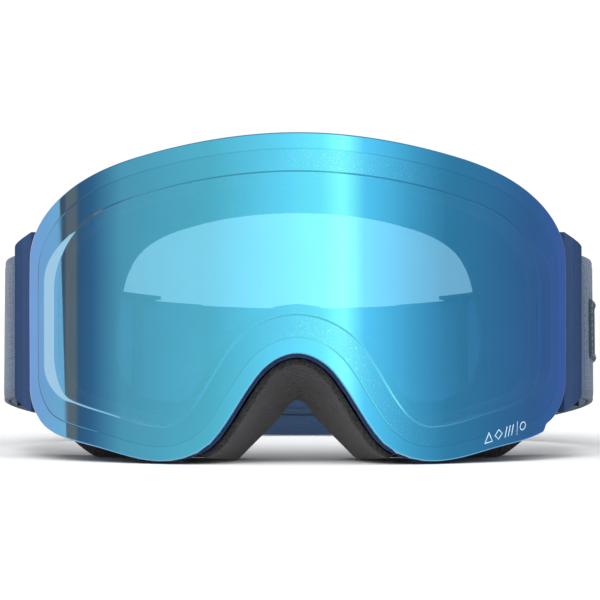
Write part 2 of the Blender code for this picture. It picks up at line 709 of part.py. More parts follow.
def build_outrigger(side, word):
    name = f"outrigger_{word}"
    plate = sweep(name, plate_sections(side), "frame_navy")
    x = side * HINGE_X
    barrel = cylinder(
        f"barrel_{word}", (x, HINGE_Y, sum(BARREL_ENDS) / 2), (0, 0, 1), BARREL_RADIUS,
        BARREL_ENDS[1] - BARREL_ENDS[0], "frame_navy",
    )
    combine(plate, barrel, "UNION")
    span = sorted((x, side * 0.0945))
    web = box(
        f"web_{word}",
        (span[0], HINGE_Y - 0.0018, BARREL_ENDS[0] + 0.001),
        (span[1], HINGE_Y + 0.0018, BARREL_ENDS[1] - 0.001),
        "frame_navy",
    )
    combine(plate, web, "UNION")
    hole = cylinder(
        f"barrel_hole_{word}", (x, HINGE_Y, sum(BARREL_ENDS) / 2), (0, 0, 1), HINGE_HOLE_RADIUS,
        BARREL_ENDS[1] - BARREL_ENDS[0] + 0.002, "frame_navy",
    )
    combine(plate, hole, "DIFFERENCE")

    centre, half = bar_centre(side), STRAP_WIDTH / 2 + EAR_CLEARANCE
    low, high = strap_point(centre, -half), strap_point(centre, half)
    for label, end, bottom in (("lower", low, low.z - EAR_THICKNESS), ("upper", high, high.z)):
        combine(plate, ear(f"{label}_ear_{word}", end, side, bottom), "UNION")
    bar = cylinder(
        f"bar_{word}", (low + high) / 2, high - low, BAR_RADIUS, (high - low).length + EAR_THICKNESS,
        "frame_navy", segments=20,
    )
    combine(plate, bar, "UNION")
    length = PIN_ENDS[1] - PIN_ENDS[0]
    middle = (x, HINGE_Y, sum(PIN_ENDS) / 2)
    cylinder(f"hinge_pin_{word}", middle, (0, 0, 1), PIN_RADIUS, length, "magnet_steel")
    hang(f"outrigger_hinge_{word}", (x, HINGE_Y, sum(PIN_ENDS) / 2), [plate, build_loop(side, word)])


def ear(name, bar, side, bottom):
    """A flat arm from the plate's inner face out to one end of the bar."""
    radius = 0.0027
    plan = [
        Vector((side * 0.0963, FRONT_Y + 0.0660)), Vector((side * 0.0970, FRONT_Y + 0.0750)),
    ]
    centre = Vector((bar.x, bar.y))
    start = math.radians(60)
    for i in range(9):
        turn = start + math.radians(240) * i / 8
        plan.append(centre + Vector((side * math.cos(turn), math.sin(turn))) * radius)
    sections = [[Vector((*p, z)) for p in plan] for z in (bottom, bottom + EAR_THICKNESS)]
    return sweep(name, sections, "frame_navy")


# ---- sliders ----

def build_slider(side, word):
    """A frame round the doubled strap: two rails, two outer bars and one inner bar, curved with the arc."""
    middle, half = side * SLIDER_ANGLE, SLIDER_LENGTH_ANGLE / 2
    rail = (SLIDER_INSIDE[0] - SLIDER_RAIL_LIP, SLIDER_OUTSIDE[1] + SLIDER_RAIL_LIP)
    edge = STRAP_WIDTH / 2 + HAIR
    reach = edge + SLIDER_RAIL - SLIDER_RAIL_LIP

    def piece(name, start, end, offsets, heights):
        return band(name, arc_plans(start, end, offsets, 6), heights, "slider_plastic")

    slider = piece(f"slider_{word}", middle - half, middle + half, rail, (edge, edge + SLIDER_RAIL))
    bar = SLIDER_BAR_ANGLE
    first, last = middle - half + SLIDER_BAR_INSET, middle + half - SLIDER_BAR_INSET
    helpers = [
        piece(f"front_bar_{word}", first, first + bar, SLIDER_OUTSIDE, (-reach, reach)),
        piece(f"lower_rail_{word}", middle - half, middle + half, rail, (-edge - SLIDER_RAIL, -edge)),
        piece(f"rear_bar_{word}", last - bar, last, SLIDER_OUTSIDE, (-reach, reach)),
        piece(f"inner_bar_{word}", middle - bar / 2, middle + bar / 2, SLIDER_INSIDE, (-reach, reach)),
    ]
    for helper in helpers:
        combine(slider, helper, "UNION")
    hang(f"slider_centre_{word}", strap_point(Vector((0.0, STRAP_REAR - strap_arcs()[0])), 0.0), [slider])


def main():
    clear_scene()
    build_lens()
    build_frame()
    build_vent_foam()
    build_foam()
    build_nose_pad()
    build_strap()
    for side, word in ((1, "right"), (-1, "left")):
        build_outrigger(side, word)
        build_slider(side, word)


main()
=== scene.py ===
"""Ski goggles, finished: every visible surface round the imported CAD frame, in metres in the same frame.

Left and right are as seen from the front. The rims, foams and straps are sweeps along outlines.
An outline is the right half of a closed curve, from the top centre clockwise to the nose centre, and each
of its knots is (across, up, heading). The lens's outlines are on its unrolled sheet.
"""

import math

import bmesh
import bpy
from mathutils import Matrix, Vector


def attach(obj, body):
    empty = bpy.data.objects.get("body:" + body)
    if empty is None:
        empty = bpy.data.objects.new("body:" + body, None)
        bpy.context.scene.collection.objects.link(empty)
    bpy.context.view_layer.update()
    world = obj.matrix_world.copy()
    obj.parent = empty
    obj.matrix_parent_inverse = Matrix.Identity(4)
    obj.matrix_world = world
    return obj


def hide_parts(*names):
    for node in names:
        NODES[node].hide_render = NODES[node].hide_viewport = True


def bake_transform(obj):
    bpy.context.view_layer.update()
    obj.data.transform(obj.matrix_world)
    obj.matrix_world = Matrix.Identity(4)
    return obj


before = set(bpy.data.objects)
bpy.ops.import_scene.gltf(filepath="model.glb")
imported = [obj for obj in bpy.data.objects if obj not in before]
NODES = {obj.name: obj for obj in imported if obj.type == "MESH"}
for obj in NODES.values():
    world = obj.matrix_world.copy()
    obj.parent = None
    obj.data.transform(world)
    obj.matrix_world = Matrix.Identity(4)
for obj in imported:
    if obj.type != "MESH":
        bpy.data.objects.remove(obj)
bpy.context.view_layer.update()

MM = 0.001

# ---- the frame's own numbers, as the CAD has them ----
FRONT_Y = -0.1199                          # the front of the lens
LENS_RADIUS = 0.114                        # the lens and the frame's front are bent round one upright axis
AXIS_Y = FRONT_Y + LENS_RADIUS
LENS_OUTLINE = [
    (0.0, 0.1078, 0), (0.054, 0.1004, -13.5), (0.087, 0.0878, -31), (0.1042, 0.067, -88),
    (0.1042, 0.024, -90), (0.094, 0.0102, -157), (0.068, 0.0043, -168), (0.046, 0.0008, -180),
    (0.027, 0.0084, -230), (0.0125, 0.0293, -231), (0.0, 0.0361, -180),
]
LENS_OPENING = [
    (0.0, 0.0950, 0), (0.050, 0.0884, -14), (0.079, 0.0768, -38), (0.0913, 0.057, -90),
    (0.0913, 0.035, -90), (0.0825, 0.0202, -163), (0.066, 0.0162, -167), (0.045, 0.0122, -180),
    (0.0355, 0.0174, -230), (0.0215, 0.0384, -232), (0.0, 0.0489, -180),
]
RIM = 12.8                                 # millimetres from one to the other
LENS_NOTCH = (0.0918, 0.0938, 0.0020)      # where the finger notch starts and is full, and its height
# How far the frame's wall stands out past the lens's edge, at each knot.
LIP = [-0.0010, -0.0010, -0.0010, -0.0010, -0.0024, -0.0028, -0.0012, 0.0002, 0.0006, 0.0006, 0.0006]
FLANGE = (0.1093, 0.1065)                  # the lens flange's front and back, as radii
FACE_RADIUS = 0.125                        # the frame's rear and the foams are bent to the face
FACE_Y = FRONT_Y + 0.034
WALL = 0.0024
HAIR = 0.0003                              # the gap between neighbouring solids
FRAME_REAR = [
    (0.0, 0.1018, 0), (0.046, 0.0958, -14), (0.073, 0.083, -37), (0.0845, 0.062, -88),
    (0.0845, 0.028, -90), (0.0780, 0.0110, -150), (0.064, 0.0040, -170), (0.046, 0.0022, -180),
    (0.0285, 0.0062, -222), (0.0150, 0.0200, -226), (0.0, 0.0285, -180),
]
FOAM_OUTLINE = [
    (0.0, 0.1030, 0), (0.046, 0.0970, -14), (0.073, 0.0842, -37), (0.0845, 0.062, -88),
    (0.0845, 0.027, -90), (0.0800, 0.0090, -128), (0.0690, 0.0, -148), (0.044, 0.0, -180),
    (0.0198, 0.0, -226), (0.0062, 0.0138, -226), (0.0, 0.0197, -180),
]
FOAM_OPENING = [
    (0.0, 0.0833, 0), (0.0335, 0.0794, -15), (0.0529, 0.0705, -42), (0.0595, 0.057, -80),
    (0.0620, 0.038, -92), (0.0560, 0.0225, -150), (0.0490, 0.0190, -170), (0.0420, 0.0185, -180),
    (0.0330, 0.0235, -228), (0.0170, 0.0390, -226), (0.0, 0.0470, -180),
]
FOAM_LAYERS = {"foam_base": 0.0065, "foam_middle": 0.0060, "foam_face": 0.0018}
STEPS = [10, 10, 12, 6, 10, 7, 6, 10, 8, 8]  # stations in each span of the frame's and foams' outlines
NOSE_PAD_STATIONS = 20                     # how many the nose wedge covers each side of the nose centre
NOSE_PAD_FRONT = 0.0020                    # how far it hangs below the frame's front edge
VENT_FOAM_THICKNESS = 0.0022

STRAP_WIDTH = 0.050
STRAP_THICKNESS = 0.0020
TAIL_THICKNESS = 0.0018
STRAP_SPAN = 0.1038                        # half of its greatest width in plan
STRAP_WIDEST = 0.115                       # how far back it is widest
STRAP_REAR = 0.2363                        # how far back it reaches
REAR_ARC_ANGLE = 60                        # the plan is an arc at the rear and two at each side
FRONT_ARC_RADIUS = 0.0763
SLOPE_START, SLOPE_END = 4.7, 8.53         # its slope down to the rear in degrees, and where that changes
SLOPE_FROM, SLOPE_TO = 0.080, 0.185
LOOP_END = 0.0890                          # where the sewn loop closes behind the outrigger's bar
BAR_BACK = 0.0785
LOOP_RADIUS = 0.0028
BLEND_LENGTH = 0.070                       # the strap behind the loop that bends when an outrigger turns
TACK_BACKS = (0.0890, 0.0925)              # the two rows of stitches behind the loop
TAIL_END_ANGLE = 24                        # where the doubled-back tail ends on the rear arc
GRIP_ANGLE = 20                            # the grips' ends on the rear arc
GRIP_HEIGHTS = {"grip_strip_upper": 0.016, "grip_strip_middle": 0.0, "grip_strip_lower": -0.016}
GRIP_WIDTH = 0.0024
PATCH_ENDS = (0.094, 0.140)
PATCH_HEIGHT = 0.021
BACK_STEPS, SIDE_STEPS, TAIL_STEPS = 40, 50, 22  # how finely the strap's plan is divided


# ---- outlines and places ----

def on_curve(knots, g):
    """The point at g spans along an outline: a cubic with the knots' headings."""
    span = min(int(g), len(knots) - 2)
    t = g - span
    start, end = knots[span], knots[span + 1]
    reach = math.dist(start[:2], end[:2])
    a, b = Vector(start[:2]), Vector(end[:2])
    turns = [math.radians(knot[2]) for knot in (start, end)]
    pull = [Vector((math.cos(turn), math.sin(turn))) * reach for turn in turns]
    point = (
        a * (2 * t**3 - 3 * t**2 + 1) + pull[0] * (t**3 - 2 * t**2 + t)
        + b * (3 * t**2 - 2 * t**3) + pull[1] * (t**3 - t**2)
    )
    return Vector((point.x, max(point.y, 0.0)))


def spans(steps=STEPS):
    """Every station of the right half, in spans from the top centre."""
    return [k + i / n for k, n in enumerate(steps) for i in range(n)] + [float(len(steps))]


def mirrored(right):
    return right + [Vector((-p.x, p.y)) for p in reversed(right[1:-1])]


def outline(knots):
    return mirrored([on_curve(knots, g) for g in spans()])


def inset(points, distance, lips=None):
    """The closed outline moved inwards along its normals, and outwards by each point's own lip."""
    lips = lips or [0.0] * len(points)
    moved = []
    for i, here in enumerate(points):
        along = points[(i + 1) % len(points)] - points[i - 1]
        moved.append(here + Vector((along.y, -along.x)).normalized() * (distance - lips[i]))
    return moved


def lip_of_each():
    right = []
    for g in spans():
        k = min(int(g), len(LIP) - 2)
        right.append(LIP[k] + (LIP[k + 1] - LIP[k]) * (g - k))
    return right + right[-2:0:-1]


def on_cylinder(point, radius):
    angle = point[0] / LENS_RADIUS
    return Vector((radius * math.sin(angle), AXIS_Y - radius * math.cos(angle), point[1]))


def face_y(x):
    return FACE_Y + FACE_RADIUS - math.sqrt(FACE_RADIUS**2 - x * x)


def on_face(point, depth):
    return Vector((point[0], face_y(point[0]) + depth, point[1]))


def smooth(share):
    share = min(max(share, 0.0), 1.0)
    return share * share * (3 - 2 * share)


# ---- meshes ----

def publish(name, made, body, materials, slot, replaces=()):
    """Turns a bmesh into a piece that rides on a body."""
    mesh = bpy.data.meshes.new(name)
    made.to_mesh(mesh)
    made.free()
    for material in materials if isinstance(materials, list) else [materials]:
        mesh.materials.append(material)
    mesh.shade_smooth()
    obj = bpy.data.objects.new(name, mesh)
    bpy.context.scene.collection.objects.link(obj)
    if replaces:
        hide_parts(*replaces)
    if body:
        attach(obj, body)
    return obj


def loft(sections, closed=False, facts=None):
    """A closed surface through cross-sections, joined end to end or capped. Facts holds each point's
    (along, across, through), kept as the attribute "strip"."""
    made = bmesh.new()
    strip = made.verts.layers.float_vector.new("strip") if facts else None
    rows = []
    for i, section in enumerate(sections):
        row = [made.verts.new(point) for point in section]
        if facts:
            for vert, fact in zip(row, facts[i]):
                vert[strip] = fact
        rows.append(row)
    pairs = list(zip(rows, rows[1:]))
    if closed:
        pairs.append((rows[-1], rows[0]))
    else:
        for row in (rows[0], rows[-1]):
            for edge in made.faces.new(row).edges:
                edge.smooth = False
    count = len(rows[0])
    for here, there in pairs:
        for k in range(count):
            after = (k + 1) % count
            made.faces.new((here[k], here[after], there[after], there[k]))
    bmesh.ops.recalc_face_normals(made, faces=made.faces)
    return made


def rounded(corners, radius, cuts=3):
    """A flat polygon's corners replaced by small arcs."""
    points = []
    for i, here in enumerate(corners):
        before, after = corners[i - 1], corners[(i + 1) % len(corners)]
        into, out = (before - here), (after - here)
        reach = min(radius, 0.45 * into.length, 0.45 * out.length)
        a, b = here + into.normalized() * reach, here + out.normalized() * reach
        for k in range(cuts + 1):
            t = k / cuts
            points.append(a * (1 - t) ** 2 + here * 2 * t * (1 - t) + b * t * t)
    return points


# ---- materials ----

class Graph:
    """Adds nodes to a shader tree. Each method but node and feed returns the new node's output."""

    def __init__(self, tree):
        self.tree = tree

    def node(self, kind, inputs=None, **settings):
        made = self.tree.nodes.new("ShaderNode" + kind)
        for name, value in settings.items():
            setattr(made, name, value)
        for socket, value in (inputs or {}).items():
            self.feed(made.inputs[socket], value)
        return made

    def feed(self, socket, value):
        if isinstance(value, bpy.types.NodeSocket):
            self.tree.links.new(value, socket)
        else:
            socket.default_value = value

    def math(self, operation, *values):
        return self.node("Math", dict(enumerate(values)), operation=operation).outputs[0]

    def span(self, value, low, high, start=0.0, end=1.0, kind="LINEAR"):
        inputs = {0: value, 1: low, 2: high, 3: start, 4: end}
        return self.node("MapRange", inputs, interpolation_type=kind).outputs[0]

    def ramp(self, value, stops):
        made = self.node("ValToRGB", {"Fac": value})
        elements = made.color_ramp.elements
        while len(elements) < len(stops):
            elements.new(1.0)
        for element, (place, colour) in zip(elements, stops):
            element.position = place
            element.color = (*colour, 1.0)
        return made.outputs["Color"]

    def mix(self, share, first, second, blend="MIX"):
        made = self.node("Mix", data_type="RGBA", blend_type=blend)
        for socket, value in ((made.inputs[0], share), (made.inputs[6], first), (made.inputs[7], second)):
            self.feed(socket, (*value, 1.0) if isinstance(value, tuple) else value)
        return made.outputs[2]


class Shade(Graph):
    """A procedural material: a Principled shader and the nodes that feed it."""

    def __init__(self, name, **plain):
        self.material = bpy.data.materials.new(name)
        self.material.use_nodes = True
        super().__init__(self.material.node_tree)
        self.shader = self.tree.nodes["Principled BSDF"]
        self.set(**plain)
        self.place = self.node("TexCoord").outputs["Object"]

    def set(self, **sockets):
        for socket, value in sockets.items():
            self.feed(self.shader.inputs[socket.replace("_", " ")], value)
        return self

    def noise(self, size, detail=3.0, roughness=0.55, place=None):
        """Cloudy values about 0.5, with features of that size."""
        made = self.node("TexNoise", {
            "Vector": place or self.place, "Scale": 1 / size, "Detail": detail, "Roughness": roughness,
        })
        return made.outputs["Fac"]

    def cells(self, size):
        """Distances to the middles of cells of that size."""
        return self.node("TexVoronoi", {"Vector": self.place, "Scale": 1 / size}).outputs["Distance"]

    def stretched(self, *factors, place=None):
        """Coordinates scaled axis by axis."""
        return self.node("Mapping", {"Vector": place or self.place, "Scale": factors}).outputs[0]

    def xyz(self, place=None):
        return self.node("SeparateXYZ", {0: place or self.place}).outputs

    def strip(self):
        """(along, across, through) on a strap."""
        return self.node("Attribute", attribute_name="strip").outputs["Vector"]

    def bump(self, height, depth, strength=1.0, under=None):
        inputs = {"Height": height, "Distance": depth, "Strength": strength}
        if under:
            inputs["Normal"] = under
        return self.node("Bump", inputs).outputs["Normal"]

    def edges(self):
        """One along worn outer edges."""
        return self.span(self.node("NewGeometry").outputs["Pointiness"], 0.52, 0.60)


# The mirror's colour from the middle of the lens round to its sides.
MIRROR_STOPS = [
    (0.00, (0.135, 0.800, 0.970)), (0.30, (0.125, 0.720, 0.955)), (0.58, (0.120, 0.600, 0.935)),
    (0.80, (0.115, 0.450, 0.930)), (1.00, (0.110, 0.320, 0.950)),
]


def mirror_coating(name, roughness, alpha, frost_and_glints=0.0, shade=1.0, painted_highlight=0.0):
    """The lens's blue mirror: teal in the middle and bluer round the sides, as its coating is. Shade darkens
    it, the frost setting roughens an area near the middle and paints pale glints there, where the highlight
    falls, and the left highlight setting lightens its left end, a painted highlight where the softbox's
    reflection falls."""
    s = Shade(name, Metallic=1.0, Coat_Weight=0.30, Coat_Roughness=0.03, Alpha=alpha)
    x, y, _ = s.xyz()
    turn = s.math("ABSOLUTE", s.math("ARCTAN2", x, s.math("SUBTRACT", AXIS_Y, y)))
    stops = [(place, tuple(v * shade for v in colour)) for place, colour in MIRROR_STOPS]
    colour = s.ramp(s.span(turn, 0.0, 0.92), stops)
    drift = s.span(s.noise(0.035, 2.0), 0.3, 0.7, 0.96, 1.04)
    drift = s.node("CombineColor", {0: drift, 1: drift, 2: drift}).outputs[0]
    colour = s.mix(1.0, colour, drift, "MULTIPLY")
    smear = s.span(s.noise(0.012, 4.0), 0.45, 0.75, roughness, roughness + 0.03)
    # painted highlight: the left end's colour is lightened towards a pale blue where the softbox's reflection
    # falls on it
    if painted_highlight:
        colour = s.mix(s.span(x, -0.078, -0.040, painted_highlight, 0.0), colour, (0.34, 0.62, 1.0))
    # painted glints: pale sparkles painted into the colour in an area right of the middle, where the highlight
    # falls; that area is also made rougher
    if frost_and_glints:
        grain = s.noise(0.0004, 2.0, 0.7)
        glint_area = s.math("MULTIPLY", s.span(x, -0.016, 0.004), s.span(x, 0.036, 0.062, 1.0, 0.0))
        painted_glints = s.math("MULTIPLY", s.span(grain, 0.58, 0.74, 0.0, frost_and_glints), glint_area)
        colour = s.mix(painted_glints, colour, (0.62, 0.90, 0.97))
        smear = s.math("ADD", smear, s.math("MULTIPLY", glint_area, 0.14))
        s.set(Normal=s.bump(grain, 0.00002, 0.25))
    return s.set(Base_Color=colour, Roughness=smear).material


def clear_sheet():
    """The anti-fog inner lens."""
    s = Shade("clear_sheet", Transmission_Weight=1.0, IOR=1.06)
    haze = s.noise(0.02, 4.0)
    tint = s.mix(haze, (0.40, 0.79, 0.98), (0.46, 0.83, 1.0))
    return s.set(Base_Color=tint, Roughness=s.span(haze, 0.4, 0.8, 0.01, 0.035)).material


def tinted_back():
    """The outer lens's uncoated polycarbonate, smoky from inside."""
    s = Shade("tinted_back", Roughness=0.04, Alpha=0.22, Coat_Weight=0.5, Coat_Roughness=0.02)
    scuff = s.noise(0.009, 5.0)
    return s.set(
        Base_Color=s.mix(scuff, (0.020, 0.016, 0.018), (0.045, 0.034, 0.030)),
        Roughness=s.span(scuff, 0.4, 0.8, 0.03, 0.09),
    ).material


def lens_rim():
    """The lens's cut edge."""
    s = Shade("lens_rim", Roughness=0.16, Metallic=0.35, Coat_Weight=0.6, Coat_Roughness=0.06)
    tool = s.noise(0.0006, 2.0, place=s.stretched(1, 1, 0.15))
    colour = s.mix(tool, (0.035, 0.16, 0.38), (0.09, 0.33, 0.60))
    return s.set(Base_Color=colour, Normal=s.bump(tool, 0.00003, 0.5)).material


def moulded(
    name, dark, light, speck, roughness=0.5, sparkle=0.25, grain=0.00016, wear=(0.045, 0.085, 0.22), gloss=0.03
):
    """Moulded plastic with a fine speckle, a matt grain and paler edges."""
    s = Shade(name, Specular_IOR_Level=gloss, Specular_Tint=(0.35, 0.55, 1.0, 1.0))
    clouds = s.noise(0.007, 5.0, 0.7)
    colour = s.mix(clouds, dark, light)
    specks = s.span(s.cells(0.00055), 0.0, 0.20, 1.0, 0.0)
    chosen = s.span(s.noise(0.0012, 1.0), 0.46, 0.60)
    colour = s.mix(s.math("MULTIPLY", s.math("MULTIPLY", specks, chosen), sparkle), colour, speck)
    rub = s.math("MULTIPLY", s.edges(), s.span(s.noise(0.0016, 3.0), 0.42, 0.62))
    colour = s.mix(s.math("MULTIPLY", rub, 0.10), colour, wear)
    texture = s.noise(grain, 2.0, 0.6)
    rough = s.span(clouds, 0.3, 0.7, roughness - 0.02, roughness + 0.02)
    rough = s.math("ADD", rough, s.math("MULTIPLY", rub, -0.03))
    return s.set(Base_Color=colour, Roughness=rough, Normal=s.bump(texture, grain * 0.25, 0.45)).material


def foam(name, dark, light, pore=0.0010, depth=0.0003, fleck=(0.16, 0.13, 0.075)):
    """Open-cell foam: pores of several sizes, with a few paler cells."""
    s = Shade(name, Roughness=0.95, Specular_IOR_Level=0.15, Sheen_Weight=0.15, Sheen_Roughness=0.6)
    pores = s.cells(pore)
    fine = s.cells(pore * 0.45)
    clouds = s.noise(0.006, 4.0)
    open_share = s.math("MULTIPLY", s.span(pores, 0.05, 0.65), s.span(fine, 0.0, 0.6, 0.7, 1.0))
    colour = s.mix(open_share, dark, light)
    colour = s.mix(s.span(s.noise(0.0008, 3.0, 0.8), 0.60, 0.74, 0.0, 0.7), colour, fleck)
    colour = s.mix(s.span(clouds, 0.35, 0.75, 0.0, 0.22), colour, tuple(v * 1.6 for v in light))
    normal = s.bump(open_share, depth, 0.9)
    normal = s.bump(clouds, 0.0004, 0.35, normal)
    return s.set(Base_Color=colour, Normal=normal).material


def fleece():
    """Brushed fleece laminated on the face foam."""
    s = Shade("fleece_face", Roughness=1.0, Specular_IOR_Level=0.1, Sheen_Weight=0.6, Sheen_Roughness=0.45)
    curls = s.noise(0.0011, 5.0, 0.75)
    tufts = s.cells(0.0016)
    nap = s.math("ADD", s.math("MULTIPLY", curls, 0.65), s.math("MULTIPLY", tufts, 0.5))
    stops = [(0.25, (0.012, 0.012, 0.015)), (0.6, (0.040, 0.040, 0.047)), (0.9, (0.10, 0.10, 0.115))]
    colour = s.ramp(nap, stops)
    worn = s.noise(0.02, 3.0)
    colour = s.mix(s.span(worn, 0.5, 0.75, 0.0, 0.3), colour, (0.09, 0.09, 0.10))
    normal = s.bump(nap, 0.0005, 0.85)
    return s.set(Base_Color=colour, Normal=normal).material


def webbing(name, yarn, shadow, accent):
    """Knitted elastic: ribs along its length crossed by fine courses, with firm edges, and painted shade
    darkening its inside.
    """
    rib_pitch, course_pitch, selvedge = 0.95 * MM, 0.62 * MM, (22.2 * MM, 22.8 * MM)
    s = Shade(name, Roughness=0.82, Specular_IOR_Level=0.25, Sheen_Weight=0.36, Sheen_Roughness=0.35)
    strip = s.strip()
    along, across, through = s.xyz(strip)
    rib = s.math("SINE", s.math("MULTIPLY", across, 2 * math.pi / rib_pitch))
    course = s.math("ADD", s.math("MULTIPLY", along, 2 * math.pi / course_pitch), s.math("MULTIPLY", rib, 1.3))
    course = s.math("SINE", course)
    knit = s.math("ADD", s.math("MULTIPLY", rib, 0.28), s.math("MULTIPLY", course, 0.22))
    knit = s.math("ADD", knit, 0.5)
    fuzz = s.noise(0.0009, 4.0, 0.7, s.stretched(0.35, 1.0, 1.0, place=strip))
    streaks = s.noise(0.004, 3.0, 0.6, s.stretched(0.04, 1.0, 1.0, place=strip))
    edge = s.span(s.math("ABSOLUTE", across), *selvedge)
    colour = s.mix(s.span(knit, 0.1, 0.9), shadow, yarn)
    colour = s.mix(s.span(fuzz, 0.45, 0.8, 0.0, 0.45), colour, tuple(min(v * 1.8, 1.0) for v in yarn))
    colour = s.mix(s.span(streaks, 0.4, 0.7, 0.0, 0.30), colour, shadow)
    colour = s.mix(s.math("MULTIPLY", edge, 0.55), colour, accent)
    # painted shade: the inside of the strap, where through is below zero, is darkened towards the shadow colour
    colour = s.mix(s.span(through, -0.6, -0.4, 0.62, 0.0), colour, tuple(v * 0.75 for v in shadow))
    height = s.math("ADD", knit, s.math("MULTIPLY", fuzz, 0.5))
    normal = s.bump(height, 0.00016, 0.8)
    return s.set(Base_Color=colour, Normal=normal).material


def thread(name, colour):
    s = Shade(name, Roughness=0.7, Sheen_Weight=0.4, Sheen_Roughness=0.4)
    twist = s.noise(0.00022, 2.0)
    return s.set(
        Base_Color=s.mix(twist, tuple(v * 0.6 for v in colour), colour), Normal=s.bump(twist, 0.00008, 0.8)
    ).material


def steel():
    """Nickel plate with fine turning marks and a little tarnish."""
    s = Shade("nickel", Metallic=1.0)
    marks = s.noise(0.0005, 3.0, place=s.stretched(1, 1, 6))
    tarnish = s.noise(0.003, 4.0)
    colour = s.mix(s.span(tarnish, 0.45, 0.8, 0.0, 0.5), (0.66, 0.66, 0.68), (0.34, 0.30, 0.26))
    return s.set(
        Base_Color=colour, Roughness=s.span(marks, 0.3, 0.7, 0.22, 0.42), Normal=s.bump(marks, 0.00002, 0.4)
    ).material


def silicone():
    """Tacky silicone bead with a fine print grain."""
    s = Shade("silicone_bead", IOR=1.41, Specular_IOR_Level=0.25, Coat_Weight=0.08, Coat_Roughness=0.3)
    clouds = s.noise(0.003, 3.0)
    lint = s.span(s.noise(0.0007, 5.0, 0.8), 0.66, 0.74)
    colour = s.mix(clouds, (0.016, 0.036, 0.072), (0.022, 0.048, 0.090))
    colour = s.mix(s.math("MULTIPLY", lint, 0.3), colour, (0.30, 0.32, 0.35))
    return s.set(
        Base_Color=colour, Roughness=s.span(clouds, 0.3, 0.7, 0.33, 0.5), Normal=s.bump(clouds, 0.0002, 0.3)
    ).material


def patch_rubber():
    """Matt moulded rubber with a fine diagonal rib."""
    s = Shade("patch_rubber_ribbed", IOR=1.5)
    along, across, _ = s.xyz(s.strip())
    diagonal = s.math("ADD", along, across)
    rib = s.math("SINE", s.math("MULTIPLY", diagonal, 2 * math.pi / 0.0011))
    dust = s.noise(0.002, 5.0, 0.7)
    colour = s.mix(s.span(rib, -1, 1), (0.010, 0.030, 0.045), (0.022, 0.060, 0.085))
    colour = s.mix(s.span(dust, 0.6, 0.8, 0.0, 0.4), colour, (0.10, 0.13, 0.15))
    return s.set(
        Base_Color=colour, Roughness=s.span(dust, 0.3, 0.7, 0.5, 0.68), Normal=s.bump(rib, 0.00012, 0.8)
    ).material


def ink():
    """Pale ink printed on the lens."""
    s = Shade("lens_print", Roughness=0.35)
    return s.set(Base_Color=s.mix(s.noise(0.0004, 3.0), (0.42, 0.62, 0.78), (0.66, 0.83, 0.94))).material


def floor_paint():
    s = Shade("studio_floor", Roughness=0.9, Specular_IOR_Level=0.1)
    return s.set(Base_Color=s.mix(s.noise(0.4, 2.0), (0.90, 0.90, 0.905), (0.92, 0.92, 0.92))).material


# ---- lens ----

TOP_COLUMNS = (22, 24, 44)                 # columns of the lens's mesh in each span of its top edge
SIDE_ROWS = 14
MARK_RADII = (0.11402, 0.11405)            # the printed mark's back and front
# From the middle of the front over the rim to the middle of the back: millimetres in from the edge, radius,
# the normal's lean outwards in degrees, and the material of the faces up to the next ring.
MIRROR, EDGE, FROST, GROOVE, BACK, CUT, STEP = range(7)
LENS_RINGS = [
    (13.10, 0.11406, 0, EDGE), (12.94, 0.11406, 0, EDGE), (12.88, 0.11405, 12, STEP),
    (12.34, 0.11397, 12, EDGE), (12.28, 0.11396, 0, FROST), (6.40, 0.11396, 0, FROST),
    (5.56, 0.11396, 0, GROOVE), (5.46, 0.11395, 8, GROOVE), (5.32, 0.11393, 8, GROOVE),
    (5.28, 0.11393, -8, GROOVE), (5.14, 0.11396, -8, GROOVE), (5.04, 0.11398, 0, EDGE),
    (2.60, 0.11400, 0, EDGE), (0.56, 0.11400, 0, EDGE), (0.42, 0.11399, 9, EDGE), (0.20, 0.11393, 34, CUT),
    (0.06, 0.11378, 64, CUT), (0.00, 0.11352, 88, CUT), (0.00, 0.11300, 90, CUT), (0.00, 0.11256, 92, CUT),
    (0.08, 0.11244, 135, BACK), (0.30, 0.11240, 180, BACK), (5.00, 0.11240, 180, BACK),
    (13.10, 0.11240, 180, BACK),
]
STEP_OUTSIDE = 12.2                        # rings deeper than this are the inner step and the window
STEP_FOOT, STEP_WIDENED, STEP_SHIFT = 12.3, 8.7, 4.2  # at the sides the step is wider and nearer to the edge


def side_share(g):
    """One along the lens's sides and nothing along its top and bottom."""
    return smooth((g - 1.9) / 1.2) * (1 - smooth((g - 3.95) / 1.25))


def rim_point(g, depth, widen=True):
    """A place on the unrolled lens, that many millimetres in from its edge."""
    if depth > STEP_OUTSIDE and widen:
        depth += ((depth - STEP_FOOT) * STEP_WIDENED - STEP_SHIFT) * side_share(g)
    return on_curve(LENS_OUTLINE, g).lerp(on_curve(LENS_OPENING, g), depth / RIM)


def lens_stations():
    """Spans along the right half such that each column meets the top and the bottom at the same x."""
    depth = LENS_RINGS[0][0]
    top = [k + i / n for k, n in enumerate(TOP_COLUMNS) for i in range(n)]
    side = [3 + i / SIDE_ROWS for i in range(SIDE_ROWS + 1)]
    fine = [4 + 6 * i / 3000 for i in range(3001)]
    across = [rim_point(g, depth, False).x for g in fine]
    bottom, k = [], 0
    for x in (rim_point(g, depth, False).x for g in reversed(top)):
        while k < len(fine) - 2 and across[k + 1] > x:
            k += 1
        gap = across[k] - across[k + 1]
        bottom.append(fine[k] + (fine[k + 1] - fine[k]) * min((across[k] - x) / gap if gap else 0.0, 1.0))
    bottom[-1] = 10.0
    return top + side + bottom


def notch_rise(g, side, depth):
    """The finger notch lifts the lower right corner's edge."""
    if side < 0 or not 4 <= g <= 6:
        return 0.0
    start, full, height = LENS_NOTCH
    edge = on_curve(LENS_OUTLINE, g).x
    return height * smooth((edge - start) / (full - start)) * (1 - smooth(depth / 5.0))


